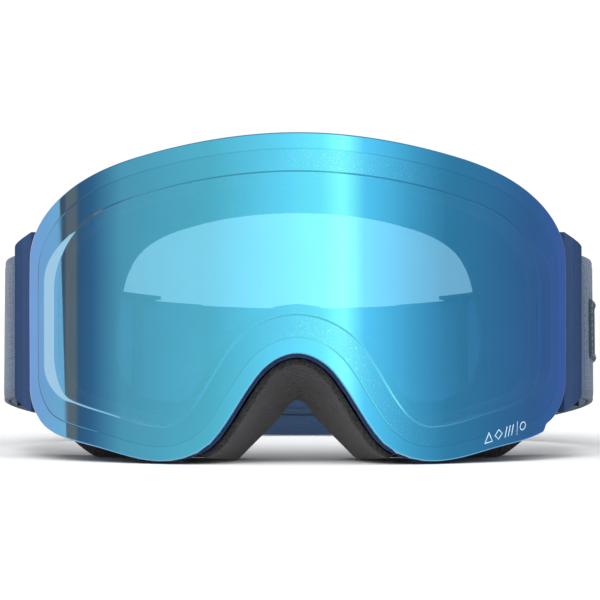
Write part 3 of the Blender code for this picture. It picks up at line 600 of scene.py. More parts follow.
def build_lens(materials):
    """The outer lens: rings round its rim, and columns across its front and back."""
    made = bmesh.new()
    right = lens_stations()
    stations = [(g, 1) for g in right] + [(g, -1) for g in reversed(right[1:-1])]
    count, half = len(stations), len(right) - 1
    top = sum(TOP_COLUMNS)
    sheets, normals, loops = [], [], []
    for depth, radius, lean, _ in LENS_RINGS:
        sheet = []
        for g, side in stations:
            point = rim_point(g, depth)
            sheet.append(Vector((side * point.x, point.y + notch_rise(g, side, depth))))
        loop = []
        for i, (point, (g, side)) in enumerate(zip(sheet, stations)):
            along = (sheet[(i + 1) % count] - sheet[i - 1]).normalized()
            turn = point.x / LENS_RADIUS
            out = Vector((math.sin(turn), -math.cos(turn), 0.0))
            into = Vector((along.y * math.cos(turn), along.y * math.sin(turn), -along.x))
            flat = (0.5 if side < 0 else 0.85) * side_share(g) if depth > STEP_FOOT else 0.0
            tilt = math.radians(lean * (1 - flat))
            normals.append(out * math.cos(tilt) - into * math.sin(tilt))
            loop.append(made.verts.new(on_cylinder(point, radius)))
        sheets.append(sheet)
        loops.append(loop)
    for (_, _, _, slot), here, there in zip(LENS_RINGS, loops, loops[1:]):
        for i in range(count):
            after = (i + 1) % count
            made.faces.new((here[i], here[after], there[after], there[i])).material_index = slot

    def fill(k, slot, facing):
        """Fills ring k with columns from its top to its bottom."""
        radius, loop, sheet = LENS_RINGS[k][1], loops[k], sheets[k]
        grid = []
        for j in range(-top, top + 1):
            i = abs(j)
            high = i if j >= 0 else (count - i) % count
            low = half - i if j >= 0 else count - (half - i)
            if i == top:
                step = 1 if j > 0 else -1
                grid.append([loop[(high + step * r) % count] for r in range(SIDE_ROWS + 1)])
                continue
            column = [loop[high]]
            for r in range(1, SIDE_ROWS):
                place = sheet[high].lerp(sheet[low % count], r / SIDE_ROWS)
                turn = place.x / LENS_RADIUS
                normals.append(Vector((math.sin(turn), -math.cos(turn), 0.0)) * facing)
                column.append(made.verts.new(on_cylinder(place, radius)))
            grid.append(column + [loop[low % count]])
        for here, there in zip(grid, grid[1:]):
            for r in range(SIDE_ROWS):
                face = made.faces.new((here[r], here[r + 1], there[r + 1], there[r]))
                face.material_index = slot

    fill(0, MIRROR, 1)
    fill(len(LENS_RINGS) - 1, BACK, -1)
    bmesh.ops.recalc_face_normals(made, faces=made.faces)
    obj = publish("lens_mirror_sheet", made, "lens", materials, "lens_mirror", ["lens_outer"])
    obj.data.normals_split_custom_set_from_vertices(normals)


def build_mark(material):
    """A plain printed mark low on the lens's right: a peak, a diamond, three slashes, a divider and a ring."""
    start, tilt, scale = Vector((0.0652, 0.0062)), math.radians(13), 1.2 * MM
    along = Vector((math.cos(tilt), math.sin(tilt)))
    up = Vector((0.05, 1.0))
    ring = [(13.9 + 1.1 * math.cos(math.pi * k / 4), 1.4 + 1.1 * math.sin(math.pi * k / 4)) for k in range(8)]
    lines = [  # points, whether they close, and the line's width
        ([(0.0, 0.0), (1.3, 2.6), (2.6, 0.0)], True, 0.26),
        ([(3.5, 1.3), (4.8, 2.6), (6.1, 1.3), (4.8, 0.0)], True, 0.26),
        *[([(x, 0.0), (x + 0.6, 2.6)], False, 0.30) for x in (7.2, 8.4, 9.6)],
        ([(11.7, -0.5), (11.7, 3.2)], False, 0.16), (ring, True, 0.26),
    ]
    made = bmesh.new()
    for points, closed, wide in lines:
        flat = [start + along * x * scale + up * y * scale for x, y in points]
        for a, b in zip(flat, flat[1:] + flat[:1] if closed else flat[1:]):
            way = (b - a).normalized() * wide * scale / 2
            side = Vector((-way.y, way.x))
            corners = [a - way - side, b + way - side, b + way + side, a - way + side]
            low, top = ([made.verts.new(on_cylinder(p, radius)) for p in corners] for radius in MARK_RADII)
            made.faces.new(low)
            made.faces.new(top)
            for i in range(4):
                j = (i + 1) % 4
                made.faces.new((low[i], low[j], top[j], top[i]))
    bmesh.ops.recalc_face_normals(made, faces=made.faces)
    publish("lens_mark", made, "lens", material, "lens_mirror")


# ---- foams ----

SWELL_FRAMES = 20


def swollen(obj, pressure, cap, keep):
    """Swells a pad with a short cloth simulation, then holds each point near its start and in its place."""
    start = [v.co.copy() for v in obj.data.vertices]
    scene = bpy.context.scene
    cloth = obj.modifiers.new("swell", "CLOTH")
    settings = cloth.settings
    settings.quality = 4
    settings.mass = 0.2
    settings.tension_stiffness = settings.compression_stiffness = 12
    settings.shear_stiffness = 6
    settings.bending_stiffness = 0.8
    settings.use_pressure = True
    settings.uniform_pressure_force = pressure
    settings.effector_weights.gravity = 0
    cloth.collision_settings.use_collision = False
    cloth.point_cache.frame_start, cloth.point_cache.frame_end = 1, SWELL_FRAMES
    for number in range(1, SWELL_FRAMES + 1):
        scene.frame_set(number)
    swelled = obj.evaluated_get(bpy.context.evaluated_depsgraph_get())
    after = [v.co.copy() for v in swelled.data.vertices]
    obj.modifiers.remove(cloth)
    scene.frame_set(1)
    for vert, before, now in zip(obj.data.vertices, start, after):
        move = now - before
        if move.length > cap:
            move *= cap / move.length
        vert.co = before + move
    for vert in obj.data.vertices:
        vert.co = keep(vert.co)
    obj.data.update()
    finer = obj.modifiers.new("finer", "SUBSURF")
    finer.levels = finer.render_levels = 1


def pad_cross(width, depth, radius, crown):
    """The section of a foam strip as (in from its outer edge, back from its front), with crowned sides."""
    corners = [Vector((0, 0)), Vector((width, 0)), Vector((width, depth)), Vector((0, depth))]
    points = []
    for i, here in enumerate(corners):
        before, after = corners[i - 1], corners[(i + 1) % 4]
        into, out = (before - here).normalized(), (after - here).normalized()
        for k in range(4):
            t = k / 3
            points.append(here + into * radius * (1 - t) ** 2 + out * radius * t * t)
        cuts = 7 if i % 2 == 0 else 2
        for k in range(1, cuts):
            t = k / cuts
            a, b = here + out * radius, after - out * radius
            bulge = crown * math.sin(math.pi * t) if i % 2 else 0.0
            points.append(a.lerp(b, t) + Vector((bulge if i == 1 else -bulge, 0)))
    return points


def build_foam_layer(name, front, thickness, material, slot, round_off, pressure, crown):
    outer, opening = outline(FOAM_OUTLINE), outline(FOAM_OPENING)
    slim = 0.15 * MM
    sections = []
    for a, b in zip(outer, opening):
        width = (b - a).length
        section = []
        for into, back in pad_cross(width - 2 * slim, thickness - slim, round_off, crown):
            flat = a.lerp(b, (into + slim) / width)
            section.append(on_face((flat.x, max(flat.y, 0.0)), front + slim / 2 + back))
        sections.append(section)
    obj = publish(name + "_soft", loft(sections, closed=True), None, material, slot)

    def keep(point):
        """The nearest place inside the layer's CAD solid."""
        back = point.y - face_y(point.x) - front
        back = min(max(back, 0.02 * MM), thickness - 0.02 * MM)
        return on_face((point.x, max(point.z, 0.05 * MM)), front + back)

    swollen(obj, pressure, 0.7 * MM, keep)
    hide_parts(name)
    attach(obj, "goggles")


def build_foams(base, middle, face):
    """The face foam's three layers, from the frame back to the face."""
    depth = HAIR
    looks = {  # material, slot, edge radius, pressure, and how far the sides are crowned
        "foam_base": (base, "face_foam", 0.8 * MM, 2.5, 0.25 * MM),
        "foam_middle": (middle, "face_foam", 1.0 * MM, 3.0, 0.35 * MM),
        "foam_face": (face, "fleece", 0.75 * MM, 3.0, 0.15 * MM),
    }
    for name, thickness in FOAM_LAYERS.items():
        material, slot, radius, pressure, crown = looks[name]
        build_foam_layer(name, depth, thickness, material, slot, radius, pressure, crown)
        depth += thickness + HAIR


def build_nose_pad(material):
    """The wedge of foam under the frame's nose bridge."""
    lens, rear, under = outline(LENS_OUTLINE), outline(FRAME_REAR), outline(FOAM_OUTLINE)
    lips = lip_of_each()
    wall_front, wall_rear = inset(lens, -1.8 * HAIR, lips), inset(rear, -1.8 * HAIR)
    front_edge = [Vector((p.x, max(p.y, 0.0))) for p in inset(lens, -NOSE_PAD_FRONT, lips)]
    centre, reach = sum(STEPS), NOSE_PAD_STATIONS
    sections = []
    for i in range(centre - reach, centre + reach + 1):
        front, back = on_cylinder(wall_front[i], FLANGE[0]), on_face(wall_rear[i], -0.1 * MM)
        low, heel = on_cylinder(front_edge[i], FLANGE[0]), on_face(under[i], -0.1 * MM)
        corners = [front.lerp(back, 0.085), back, heel, low.lerp(heel, 0.085)]
        section = []
        edge = rounded(corners, 0.8 * MM)
        for point, ahead in zip(edge, edge[1:] + [None]):
            section.append(point)
            if ahead is not None and (ahead - point).length > 3 * MM:
                section += [point.lerp(ahead, k / 6) for k in range(1, 6)]
        sections.append(section)
    if len({len(section) for section in sections}) > 1:
        sections = [resampled(section, 32) for section in sections]
    obj = publish("nose_wedge_soft", loft(sections), None, material, "face_foam")
    swollen(obj, 0.6, 0.25 * MM, lambda p: Vector((p.x, p.y, max(p.z, 0.05 * MM))))
    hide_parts("nose_pad")
    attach(obj, "goggles")


def resampled(points, count):
    """A closed polyline as that many evenly spaced points, from its first."""
    lengths = [0.0]
    loop = points + [points[0]]
    for a, b in zip(loop, loop[1:]):
        lengths.append(lengths[-1] + (b - a).length)
    made, k = [], 0
    for i in range(count):
        goal = lengths[-1] * i / count
        while lengths[k + 1] < goal:
            k += 1
        made.append(loop[k].lerp(loop[k + 1], (goal - lengths[k]) / max(lengths[k + 1] - lengths[k], 1e-9)))
    return made


def build_vent_foams(material):
    """Open foam strips inside the channel's wall, over the vents."""
    outer, rear = outline(LENS_OUTLINE), outline(FRAME_REAR)
    near = WALL + 1.8 * HAIR
    depths = (near, near + VENT_FOAM_THICKNESS - 0.1 * MM)
    fronts = [inset(outer, depth, lip_of_each()) for depth in depths]
    backs = [inset(rear, depth) for depth in depths]
    count, top = 2 * sum(STEPS), sum(STEPS[:2])
    first, last = sum(STEPS[:5]) + 1, sum(STEPS[:7])
    runs = {
        "vent_foam_top": range(-top, top + 1), "vent_foam_right": range(first, last + 1),
        "vent_foam_left": range(count - last, count - first + 1),
    }
    for name, stations in runs.items():
        sections = []
        for i in stations:
            a, b = (on_cylinder(points[i], FLANGE[1]) for points in fronts)
            d, c = (on_face(points[i], -WALL) for points in backs)
            corners = [a.lerp(d, 0.055), b.lerp(c, 0.055), b.lerp(c, 0.945), a.lerp(d, 0.945)]
            sections.append(resampled(rounded(corners, 0.6 * MM), 28))
        obj = publish(name + "_soft", loft(sections), "goggles", material, "vent_foam", [name])


# ---- strap ----

def strap_arcs():
    """The radii of the rear arc and the side arc that reach the strap's width and length."""
    turn = math.radians(REAR_ARC_ANGLE)
    s, c = math.sin(turn), math.cos(turn)
    depth = STRAP_REAR - STRAP_WIDEST
    det = s * c - (1 - s) * (1 - c)
    return (STRAP_SPAN * c - depth * (1 - s)) / det, (depth * s - STRAP_SPAN * (1 - c)) / det


REAR_RADIUS, SIDE_RADIUS = strap_arcs()
ARC_START = STRAP_REAR - REAR_RADIUS * (1 - math.cos(math.radians(REAR_ARC_ANGLE)))


def plan_point(back, side, offset=0.0):
    """The strap's place in plan at a distance back, on one side. Offset is outwards from its middle."""
    if back <= STRAP_WIDEST:
        centre, radius = Vector((STRAP_SPAN - FRONT_ARC_RADIUS, STRAP_WIDEST)), FRONT_ARC_RADIUS
    elif back <= ARC_START:
        centre, radius = Vector((STRAP_SPAN - SIDE_RADIUS, STRAP_WIDEST)), SIDE_RADIUS
    else:
        centre, radius = Vector((0.0, STRAP_REAR - REAR_RADIUS)), REAR_RADIUS
    up = back - centre.y
    out = Vector((math.sqrt(max(radius**2 - up**2, 0.0)), up)) / radius
    place = centre + out * (radius + offset)
    return Vector((side * place.x, place.y))


def arc_plan(angle, offset):
    """A plan place on the rear arc, at an angle round from the back centre."""
    turn = math.radians(angle)
    out = REAR_RADIUS + offset
    return Vector((out * math.sin(turn), STRAP_REAR - REAR_RADIUS + out * math.cos(turn)))


def slope_at(back):
    """The strap's slope down to the rear, in radians, at a distance back along its plan."""
    share = min(max((back - SLOPE_FROM) / (SLOPE_TO - SLOPE_FROM), 0.0), 1.0)
    return math.radians(SLOPE_START + (SLOPE_END - SLOPE_START) * share)


def run_and_drop(back):
    """How far back and how far down the sloping strap is, at a distance back along its plan."""
    low, high = math.radians(SLOPE_START), math.radians(SLOPE_END)
    rate = (high - low) / (SLOPE_TO - SLOPE_FROM)
    angle = slope_at(min(max(back, SLOPE_FROM), SLOPE_TO))
    before, beyond = min(back - SLOPE_FROM, 0.0), max(back - SLOPE_TO, 0.0)
    run = SLOPE_FROM + (math.sin(angle) - math.sin(low)) / rate
    run += before * math.cos(low) + beyond * math.cos(high)
    drop = (math.cos(low) - math.cos(angle)) / rate + before * math.sin(low) + beyond * math.sin(high)
    return run, drop


def strap_point(plan, height):
    """A plan place and a height across the strap, laid on the sloping strap."""
    rear_slope = math.radians(SLOPE_END)
    low_edge = (STRAP_WIDTH * math.cos(rear_slope) + STRAP_THICKNESS * math.sin(rear_slope)) / 2
    run, drop = run_and_drop(plan.y)
    slope = slope_at(plan.y)
    level = low_edge + run_and_drop(STRAP_REAR)[1] - drop
    return Vector((plan.x, FRONT_Y + run + height * math.sin(slope), level + height * math.cos(slope)))


def strap_line(side):
    """The ribbon's middle line in plan: from the back centre forward, round the outrigger's bar, and back
    inside as the tail. Each is (place, thickness)."""
    tail_offset = -((STRAP_THICKNESS + TAIL_THICKNESS) / 2 + HAIR)
    line = [(arc_plan(side * REAR_ARC_ANGLE * i / BACK_STEPS, 0.0), STRAP_THICKNESS) for i in range(BACK_STEPS)]
    backs = [ARC_START + (LOOP_END - ARC_START) * i / SIDE_STEPS for i in range(SIDE_STEPS)]
    line += [(plan_point(back, side), STRAP_THICKNESS) for back in backs]
    nose = BAR_BACK - 0.0026
    turn = [(LOOP_END, 0.0), (LOOP_END - 0.005, 0.0), (nose + 0.002, 0.0), (nose, 0.0)]
    for angle in (math.pi * i / 12 for i in range(1, 12)):
        turn.append((nose - LOOP_RADIUS * math.sin(angle), -LOOP_RADIUS * (1 - math.cos(angle))))
    start = BAR_BACK + 0.0010
    turn += [(nose, -2 * LOOP_RADIUS), (start, -2 * LOOP_RADIUS)]
    ease = [start + (LOOP_END - 0.001 - start) * i / 6 for i in range(1, 7)]
    first, last = ease[0] - 0.0016, ease[-1]
    for back in ease:
        share = smooth((back - first) / (last - first))
        turn.append((back, -2 * LOOP_RADIUS + (tail_offset + 2 * LOOP_RADIUS) * share))
    line += [(plan_point(back, side, offset), TAIL_THICKNESS) for back, offset in turn]
    backs = [LOOP_END + (ARC_START - LOOP_END) * i / SIDE_STEPS for i in range(1, SIDE_STEPS)]
    line += [(plan_point(back, side, tail_offset), TAIL_THICKNESS) for back in backs]
    swing = REAR_ARC_ANGLE - TAIL_END_ANGLE
    angles = [side * (REAR_ARC_ANGLE - swing * i / TAIL_STEPS) for i in range(TAIL_STEPS + 1)]
    return line + [(arc_plan(angle, tail_offset), TAIL_THICKNESS) for angle in angles]


def ribbon_cross():
    """The strap's section as (height across it, share of half its thickness), with thinner selvedges."""
    half = STRAP_WIDTH / 2
    selvedge = half - 2.6 * MM
    face = [selvedge * (k / 8 - 1) for k in range(17)]
    points = [(y, 1.0) for y in face]
    edge = [(selvedge + 0.35 * MM, 0.84), (half - 0.7 * MM, 0.84), (half - 0.2 * MM, 0.62), (half, 0.22)]
    points += edge + [(y, -z) for y, z in reversed(edge)]
    points += [(y, -1.0) for y in reversed(face)]
    points += [(-a, -b) for a, b in points[17:25]]
    return points


def ribbon(name, line, heights, material, slot, nodes):
    """A strap along a plan line. Heights is its section, and the strip attribute follows it. Through is
    positive on the strap's outside."""
    sections, facts, along = [], [], 0.0
    for i, (here, thick) in enumerate(line):
        before, after = line[max(i - 1, 0)][0], line[min(i + 1, len(line) - 1)][0]
        if i:
            along += (here - line[i - 1][0]).length
        way = (after - before).normalized()
        out = Vector((way.y, -way.x))
        if not i:
            facing = math.copysign(1.0, out.y)
        sections.append([strap_point(here + out * up * thick / 2, across) for across, up in heights])
        facts.append([(along, across, up * facing) for across, up in heights])
    return publish(name, loft(sections, facts=facts), None, material, slot, nodes)


def stretch(obj, side):
    """Bakes a piece's place into its mesh. The strap's places at the loop and further back are worked out but
    not used.
    """
    start, end = (strap_point(plan_point(back, side), 0.0) for back in (LOOP_END, LOOP_END + BLEND_LENGTH))
    end.x = start.x
    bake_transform(obj)


def sewn(name, runs, material, thick=0.00019):
    """A piece with a short arched thread for each (start, end, normal)."""
    made = bmesh.new()
    # Each is a share of the length, of the thickness, and of the height over the cloth.
    shares = ((0.0, 0.35, -0.7), (0.14, 0.85, 0.0), (0.5, 1.0, 0.35), (0.86, 0.85, 0.0), (1.0, 0.35, -0.7))
    for start, end, normal in runs:
        way = (end - start).normalized()
        side = way.cross(normal).normalized()
        rows = []
        for share, fat, lift in shares:
            centre = start.lerp(end, share) + normal * thick * lift
            rows.append([
                made.verts.new(centre + (side * math.cos(a) + normal * math.sin(a)) * thick * fat)
                for a in (math.pi * k / 3 for k in range(6))
            ])
        made.faces.new(rows[0])
        made.faces.new(rows[-1])
        for here, there in zip(rows, rows[1:]):
            for k in range(6):
                j = (k + 1) % 6
                made.faces.new((here[k], here[j], there[j], there[k]))
    bmesh.ops.recalc_face_normals(made, faces=made.faces)
    return publish(name, made, None, material, "strap_webbing")


def strap_frame(back, side, offset, height):
    """A place on the strap's surface and the direction out of it."""
    place = strap_point(plan_point(back, side, offset), height)
    return place, (strap_point(plan_point(back, side, offset + MM), height) - place).normalized()


def build_stitching(side, word, material):
    """Zigzag tacks where the doubled strap closes behind the bar, on both faces."""
    lowest, pitch, length, zigzag = -0.0220, 0.00122, 0.00112, 0.0008
    runs = []
    outside = STRAP_THICKNESS / 2
    inside = -(STRAP_THICKNESS / 2 + HAIR + TAIL_THICKNESS)
    for offset, facing in ((outside, 1), (inside, -1)):
        for back in TACK_BACKS:
            for k in range(36):
                low = lowest + k * pitch
                a, out = strap_frame(back + zigzag * (k % 2), side, offset, low)
                b, _ = strap_frame(back + zigzag * ((k + 1) % 2), side, offset, low + length)
                runs.append((a, b, out * facing))
    stretch(sewn(f"strap_stitching_{word}", runs, material), side)


def build_patch(rubber, yarn):
    """The raised patch: a framed field with rounded corners, stitched round its edge."""
    middle = (PATCH_ENDS[0] + PATCH_ENDS[1]) / 2
    long, high = (PATCH_ENDS[1] - PATCH_ENDS[0]) / 2, PATCH_HEIGHT / 2
    base = STRAP_THICKNESS / 2 + 0.05 * MM

    corner, thread_corner = 2.2 * MM, 1.6 * MM

    def depth_in(u, v):
        """Distance in from the rounded rectangle's edge."""
        dx, dy = abs(u) - (long - corner), abs(v) - (high - corner)
        if dx > 0 and dy > 0:
            return corner - math.hypot(dx, dy)
        return min(long - abs(u), high - abs(v))

    def lift(depth):
        """The patch's height over the strap: a raised edge round a lower field."""
        edge = 0.85 * MM * smooth(depth / (0.5 * MM)) + 0.08 * MM
        return edge - 0.28 * MM * smooth((depth - 1.9 * MM) / (0.35 * MM))

    def places(half, number):
        """Places across the patch, closer together along its raised edge."""
        marks = [0.0, 0.12, 0.3, 0.55, 1.2, 1.9, 2.1, 2.3, 2.7]
        low = [-half + m * MM for m in marks]
        between = [-half + 2.7 * MM + (2 * half - 5.4 * MM) * k / number for k in range(1, number)]
        return low + between + [half - m * MM for m in reversed(marks)]

    us, vs = places(long, 44), places(high, 18)
    made = bmesh.new()
    strip = made.verts.layers.float_vector.new("strip")
    sheets = []
    for top in (True, False):
        grid = []
        for u in us:
            column = []
            for v in vs:
                a, b = squeezed(u, v, long, high, corner)
                through = base + (lift(depth_in(a, b)) if top else 0.0)
                vert = made.verts.new(strap_point(plan_point(middle + a, 1, through), b))
                vert[strip] = (a, b, 0.0)
                column.append(vert)
            grid.append(column)
        sheets.append(grid)
        for here, there in zip(grid, grid[1:]):
            for k in range(len(vs) - 1):
                made.faces.new((here[k], here[k + 1], there[k + 1], there[k]))
    upper, lower = (
        [g[0] for g in s] + s[-1][1:] + [g[-1] for g in s[-2::-1]] + s[0][-2:0:-1] for s in sheets
    )
    for i in range(len(upper)):
        j = (i + 1) % len(upper)
        made.faces.new((upper[i], upper[j], lower[j], lower[i]))
    bmesh.ops.recalc_face_normals(made, faces=made.faces)
    patch = publish("strap_patch_raised", made, None, rubber, "patch_rubber")
    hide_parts("strap_patch")
    stretch(patch, 1)

    runs = []
    inset_by = 1.15 * MM
    path = [(s * (long - inset_by), t * (high - inset_by)) for s, t in ((-1, -1), (1, -1), (1, 1), (-1, 1))]
    for (a, b), (c, d) in zip(path, path[1:] + path[:1]):
        length = math.hypot(c - a, d - b)
        number = int(length / (2.3 * MM))  # a stitch's length with its gap
        for k in range(number):
            ends = []
            for t in ((k + 0.14) / number, (k + 0.86) / number):
                u, v = a + (c - a) * t, b + (d - b) * t
                p, q = squeezed(u, v, long - inset_by, high - inset_by, thread_corner)
                ends.append(strap_frame(middle + p, 1, base + 0.93 * MM, q))
            runs.append((ends[0][0], ends[1][0], ends[0][1]))
    stretch(sewn("patch_stitching", runs, yarn), 1)


def squeezed(u, v, long, high, corner):
    """A rectangle's point moved so that the rectangle's corners become round."""
    dx, dy = abs(u) - (long - corner), abs(v) - (high - corner)
    if dx > 0 and dy > 0:
        share = max(dx, dy) / math.hypot(dx, dy)
        u = math.copysign(long - corner + dx * share, u)
        v = math.copysign(high - corner + dy * share, v)
    return u, v


def build_straps(web, yarn):
    cross = ribbon_cross()
    for side, word in ((1, "right"), (-1, "left")):
        nodes = [f"strap_loop_{word}", f"strap_tail_{word}", "strap_main"]
        obj = ribbon(f"strap_{word}", strap_line(side), cross, web, "strap_webbing", nodes)
        stretch(obj, side)
        build_stitching(side, word, yarn)


def build_grips(bead):
    """Silicone beads printed inside the back of the strap, with tapered ends and a slight wave."""
    inner = -(STRAP_THICKNESS / 2 + HAIR)
    dome = [(-1.0, 0.0), (-0.86, 0.55), (-0.5, 0.9), (0.0, 1.0), (0.5, 0.9), (0.86, 0.55), (1.0, 0.0)]
    for name, height in GRIP_HEIGHTS.items():
        sections = []
        for k in range(61):
            angle = GRIP_ANGLE * (1 - k / 30)
            taper = smooth((GRIP_ANGLE - abs(angle)) / 1.2) * 0.85 + 0.15
            wave = 1 + 0.10 * math.sin(k * math.pi / 2)
            half = GRIP_WIDTH / 2 * taper
            section = []
            for w, h in dome:
                offset = inner + 0.12 * MM - 0.72 * MM * h * taper
                section.append(strap_point(arc_plan(angle, offset), height + w * half * wave))
            for w in (0.7, -0.7):
                section.append(strap_point(arc_plan(angle, inner + 0.2 * MM), height + w * half * 0.9))
            sections.append(section)
        publish(name.replace("strip", "bead"), loft(sections), "goggles", bead, "grip_silicone", [name])


# ---- CAD nodes that stay ----

def dress(name, material, bevel=0.0):
    """Gives a CAD node its finish and small rounded edges."""
    obj = NODES[name]
    obj.data.materials.clear()
    obj.data.materials.append(material)
    if bevel:
        soft = obj.modifiers.new("soft edges", "BEVEL")
        soft.width, soft.segments, soft.limit_method = bevel, 2, "ANGLE"
        soft.angle_limit = math.radians(38)
        soft.harden_normals = True
        soft.miter_outer = "MITER_ARC"


def dress_nodes():
    navy = moulded(
        "frame_navy_speckled", (0.035, 0.065, 0.148), (0.038, 0.070, 0.156), (0.17, 0.26, 0.44),
        sparkle=0.7, gloss=0.0,
    )
    carrier = moulded(
        "carrier_pale", (0.10, 0.22, 0.32), (0.16, 0.30, 0.42), (0.45, 0.6, 0.7), roughness=0.35, grain=0.0003
    )
    plastic = moulded(
        "slider_black", (0.022, 0.026, 0.034), (0.034, 0.039, 0.050), (0.07, 0.08, 0.10),
        roughness=0.52, sparkle=0.12, wear=(0.13, 0.13, 0.15),
    )
    spacer = foam("spacer_foam_fine", (0.010, 0.010, 0.012), (0.03, 0.03, 0.034), pore=0.0003)
    nickel = steel()
    dress("frame_shell", navy, 0.35 * MM)
    for word in ("right", "left"):
        dress(f"outrigger_{word}", navy, 0.4 * MM)
        dress(f"slider_{word}", plastic, 0.3 * MM)
        dress(f"hinge_pin_{word}", nickel, 0.25 * MM)
    for number in range(1, 9):
        for owner in ("lens", "frame"):
            dress(f"{owner}_magnet_{number}", nickel, 0.15 * MM)
    dress("lens_inner", clear_sheet())
    dress("lens_carrier", carrier, 0.2 * MM)
    dress("lens_spacer", spacer)


# ---- studio ----

# What gloss shows round the object, by degrees from the front towards the right, and the ramp's ends.
GLOSS_FROM, GLOSS_TO = -100.0, 120.0
GLOSS_STOPS = [
    (-90.6, (0.45, 0.26, 0.20)), (-89.6, (0.50, 0.28, 0.21)), (-89.0, (1.0, 0.42, 0.27)),
    (-84.2, (1.0, 0.42, 0.27)), (-83.2, (0.30, 0.28, 0.31)), (-77, (0.31, 0.34, 0.41)),
    (-64, (0.76, 0.76, 0.73)), (-31, (0.84, 0.88, 0.91)), (-3, (1.20, 1.28, 1.47)), (8, (1.45, 1.55, 1.55)),
    (15.5, (2.4, 2.15, 1.7)), (23, (0.90, 1.16, 1.45)), (40, (0.50, 0.70, 0.88)), (53, (0.31, 0.46, 0.59)),
    (90, (0.32, 0.35, 0.43)), (112, (0.42, 0.44, 0.54)),
]
SOFTBOX, OVERHEAD, UNDERFOOT = (1.55, 1.36, 1.05), (0.42, 0.44, 0.50), (1.15, 1.12, 1.15)
WHITE = (1.0, 1.0, 1.0, 1.0)
KEY_PLACE, KEY_AIM = Vector((-0.5, -1.7, 1.6)), Vector((0.0, -0.05, 0.03))


def build_world():
    """Light from the front and above, plain white behind, and for gloss a soft studio gradient."""
    world = bpy.data.worlds.new("studio")
    bpy.context.scene.world = world
    world.use_nodes = True
    world.node_tree.nodes.clear()
    g = Graph(world.node_tree)
    x, y, z = g.node("SeparateXYZ", {0: g.node("TexCoord").outputs["Generated"]}).outputs
    turn = g.math("DEGREES", g.math("ARCTAN2", x, g.math("MULTIPLY", y, -1.0)))
    high = g.math("DEGREES", g.math("ARCSINE", z))
    stops = [((place - GLOSS_FROM) / (GLOSS_TO - GLOSS_FROM), colour) for place, colour in GLOSS_STOPS]
    gloss = g.ramp(g.span(turn, GLOSS_FROM, GLOSS_TO), stops)
    edge = g.math("ADD", g.math("MULTIPLY", high, 0.85), turn)
    gloss = g.mix(g.span(edge, -91.1, -90.8, 1.0, 0.0, "SMOOTHSTEP"), gloss, SOFTBOX)
    gloss = g.mix(g.span(high, 16.0, 34.0, kind="SMOOTHSTEP"), gloss, OVERHEAD)
    gloss = g.mix(g.span(high, -14.0, -30.0, kind="SMOOTHSTEP"), gloss, UNDERFOOT)
    aim = g.math("MULTIPLY_ADD", z, 0.78, g.math("MULTIPLY", y, -0.62))
    aim = g.math("POWER", g.math("MAXIMUM", aim, 0.0), 3.0)
    lit = g.node("Background", {"Color": WHITE, "Strength": g.span(aim, 0.0, 1.0, 0.12, 3.3)}).outputs[0]
    plain = g.node("Background", {"Color": WHITE, "Strength": 1.03}).outputs[0]
    shown = g.node("Background", {"Color": gloss, "Strength": 1.0}).outputs[0]
    path = g.node("LightPath").outputs
    seen = g.math("MAXIMUM", path["Is Camera Ray"], path["Is Transmission Ray"])
    both = g.node("MixShader", {0: seen, 1: lit, 2: plain}).outputs[0]
    bounced = g.math("SUBTRACT", path["Is Glossy Ray"], path["Is Transmission Ray"])
    both = g.node("MixShader", {0: g.math("MAXIMUM", bounced, 0.0), 1: both, 2: shown}).outputs[0]
    g.node("OutputWorld", {"Surface": both})


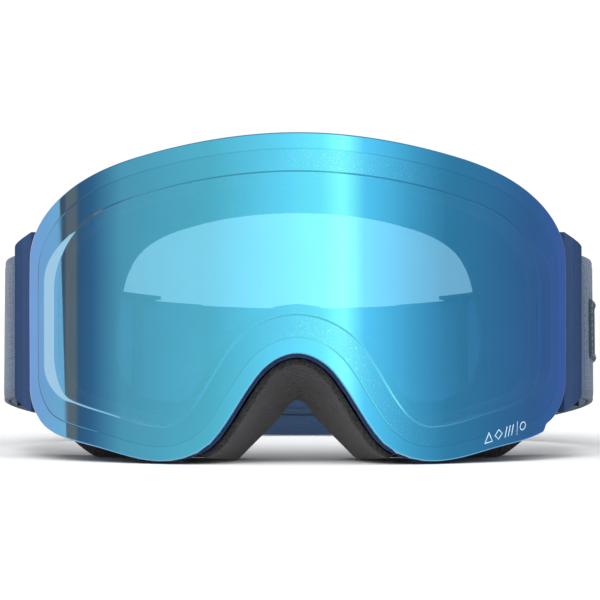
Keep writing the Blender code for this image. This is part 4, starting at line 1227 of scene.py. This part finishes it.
def build_studio():
    """The world, a key light that gloss doesn't show, and the floor."""
    build_world()
    light = bpy.data.lights.new("key", "AREA")
    light.shape, light.size, light.energy = "DISK", 0.9, 12.0
    key = bpy.data.objects.new("key", light)
    key.location = KEY_PLACE
    key.rotation_euler = (KEY_AIM - KEY_PLACE).to_track_quat("-Z", "Y").to_euler()
    key.visible_glossy = key.visible_camera = False
    bpy.context.scene.collection.objects.link(key)
    made = bmesh.new()
    bmesh.ops.create_circle(made, cap_ends=True, segments=96, radius=9.0)
    bmesh.ops.translate(made, vec=(0.0, 0.0, -0.0002), verts=made.verts)
    mesh = bpy.data.meshes.new("floor")
    made.to_mesh(mesh)
    made.free()
    mesh.materials.append(floor_paint())
    floor = bpy.data.objects.new("floor", mesh)
    floor.visible_glossy = False
    bpy.context.scene.collection.objects.link(floor)


def build_camera():
    camera = bpy.data.cameras.new("camera")
    camera.lens, camera.sensor_width = 204.0, 36.0
    camera.shift_x, camera.shift_y = 0.004, -0.01167
    camera.clip_start, camera.clip_end = 0.05, 50.0
    obj = bpy.data.objects.new("camera", camera)
    turn, away = math.radians(0.3), 1.144
    focus = Vector((0.0, FRONT_Y + 0.044, 0.0557))
    obj.location = focus + Vector((math.sin(turn), -math.cos(turn), 0.0)) * away
    obj.rotation_euler = (math.radians(90), 0.0, turn)
    bpy.context.scene.collection.objects.link(obj)
    bpy.context.scene.camera = obj


def main():
    build_studio()
    build_camera()
    dress_nodes()
    build_lens([
        mirror_coating("mirror_clear", 0.03, 0.64), mirror_coating("mirror_solid", 0.03, 1.0, shade=0.67),
        mirror_coating("mirror_frosted_glints", 0.04, 1.0, frost_and_glints=0.45, shade=0.64),
        mirror_coating("mirror_groove", 0.08, 1.0, shade=0.58),
        tinted_back(), lens_rim(), mirror_coating("mirror_step", 0.05, 1.0, shade=0.56, painted_highlight=0.45),
    ])
    build_mark(ink())
    charcoal = foam("foam_charcoal", (0.006, 0.006, 0.007), (0.036, 0.035, 0.038))
    build_foams(charcoal, foam("foam_soft_black", (0.008, 0.008, 0.010), (0.034, 0.033, 0.038)), fleece())
    build_nose_pad(charcoal)
    vent = foam("foam_open_vent", (0.004, 0.004, 0.005), (0.032, 0.032, 0.036), pore=0.0011, depth=0.0004)
    build_vent_foams(vent)
    web = webbing("strap_knit", (0.050, 0.108, 0.215), (0.017, 0.040, 0.090), (0.030, 0.066, 0.14))
    yarn = thread("sewing_thread", (0.20, 0.30, 0.42))
    build_straps(web, yarn)
    build_patch(patch_rubber(), yarn)
    build_grips(silicone())
    scene = bpy.context.scene
    scene.view_settings.view_transform = "Standard"
    scene.view_settings.look = "None"


main()
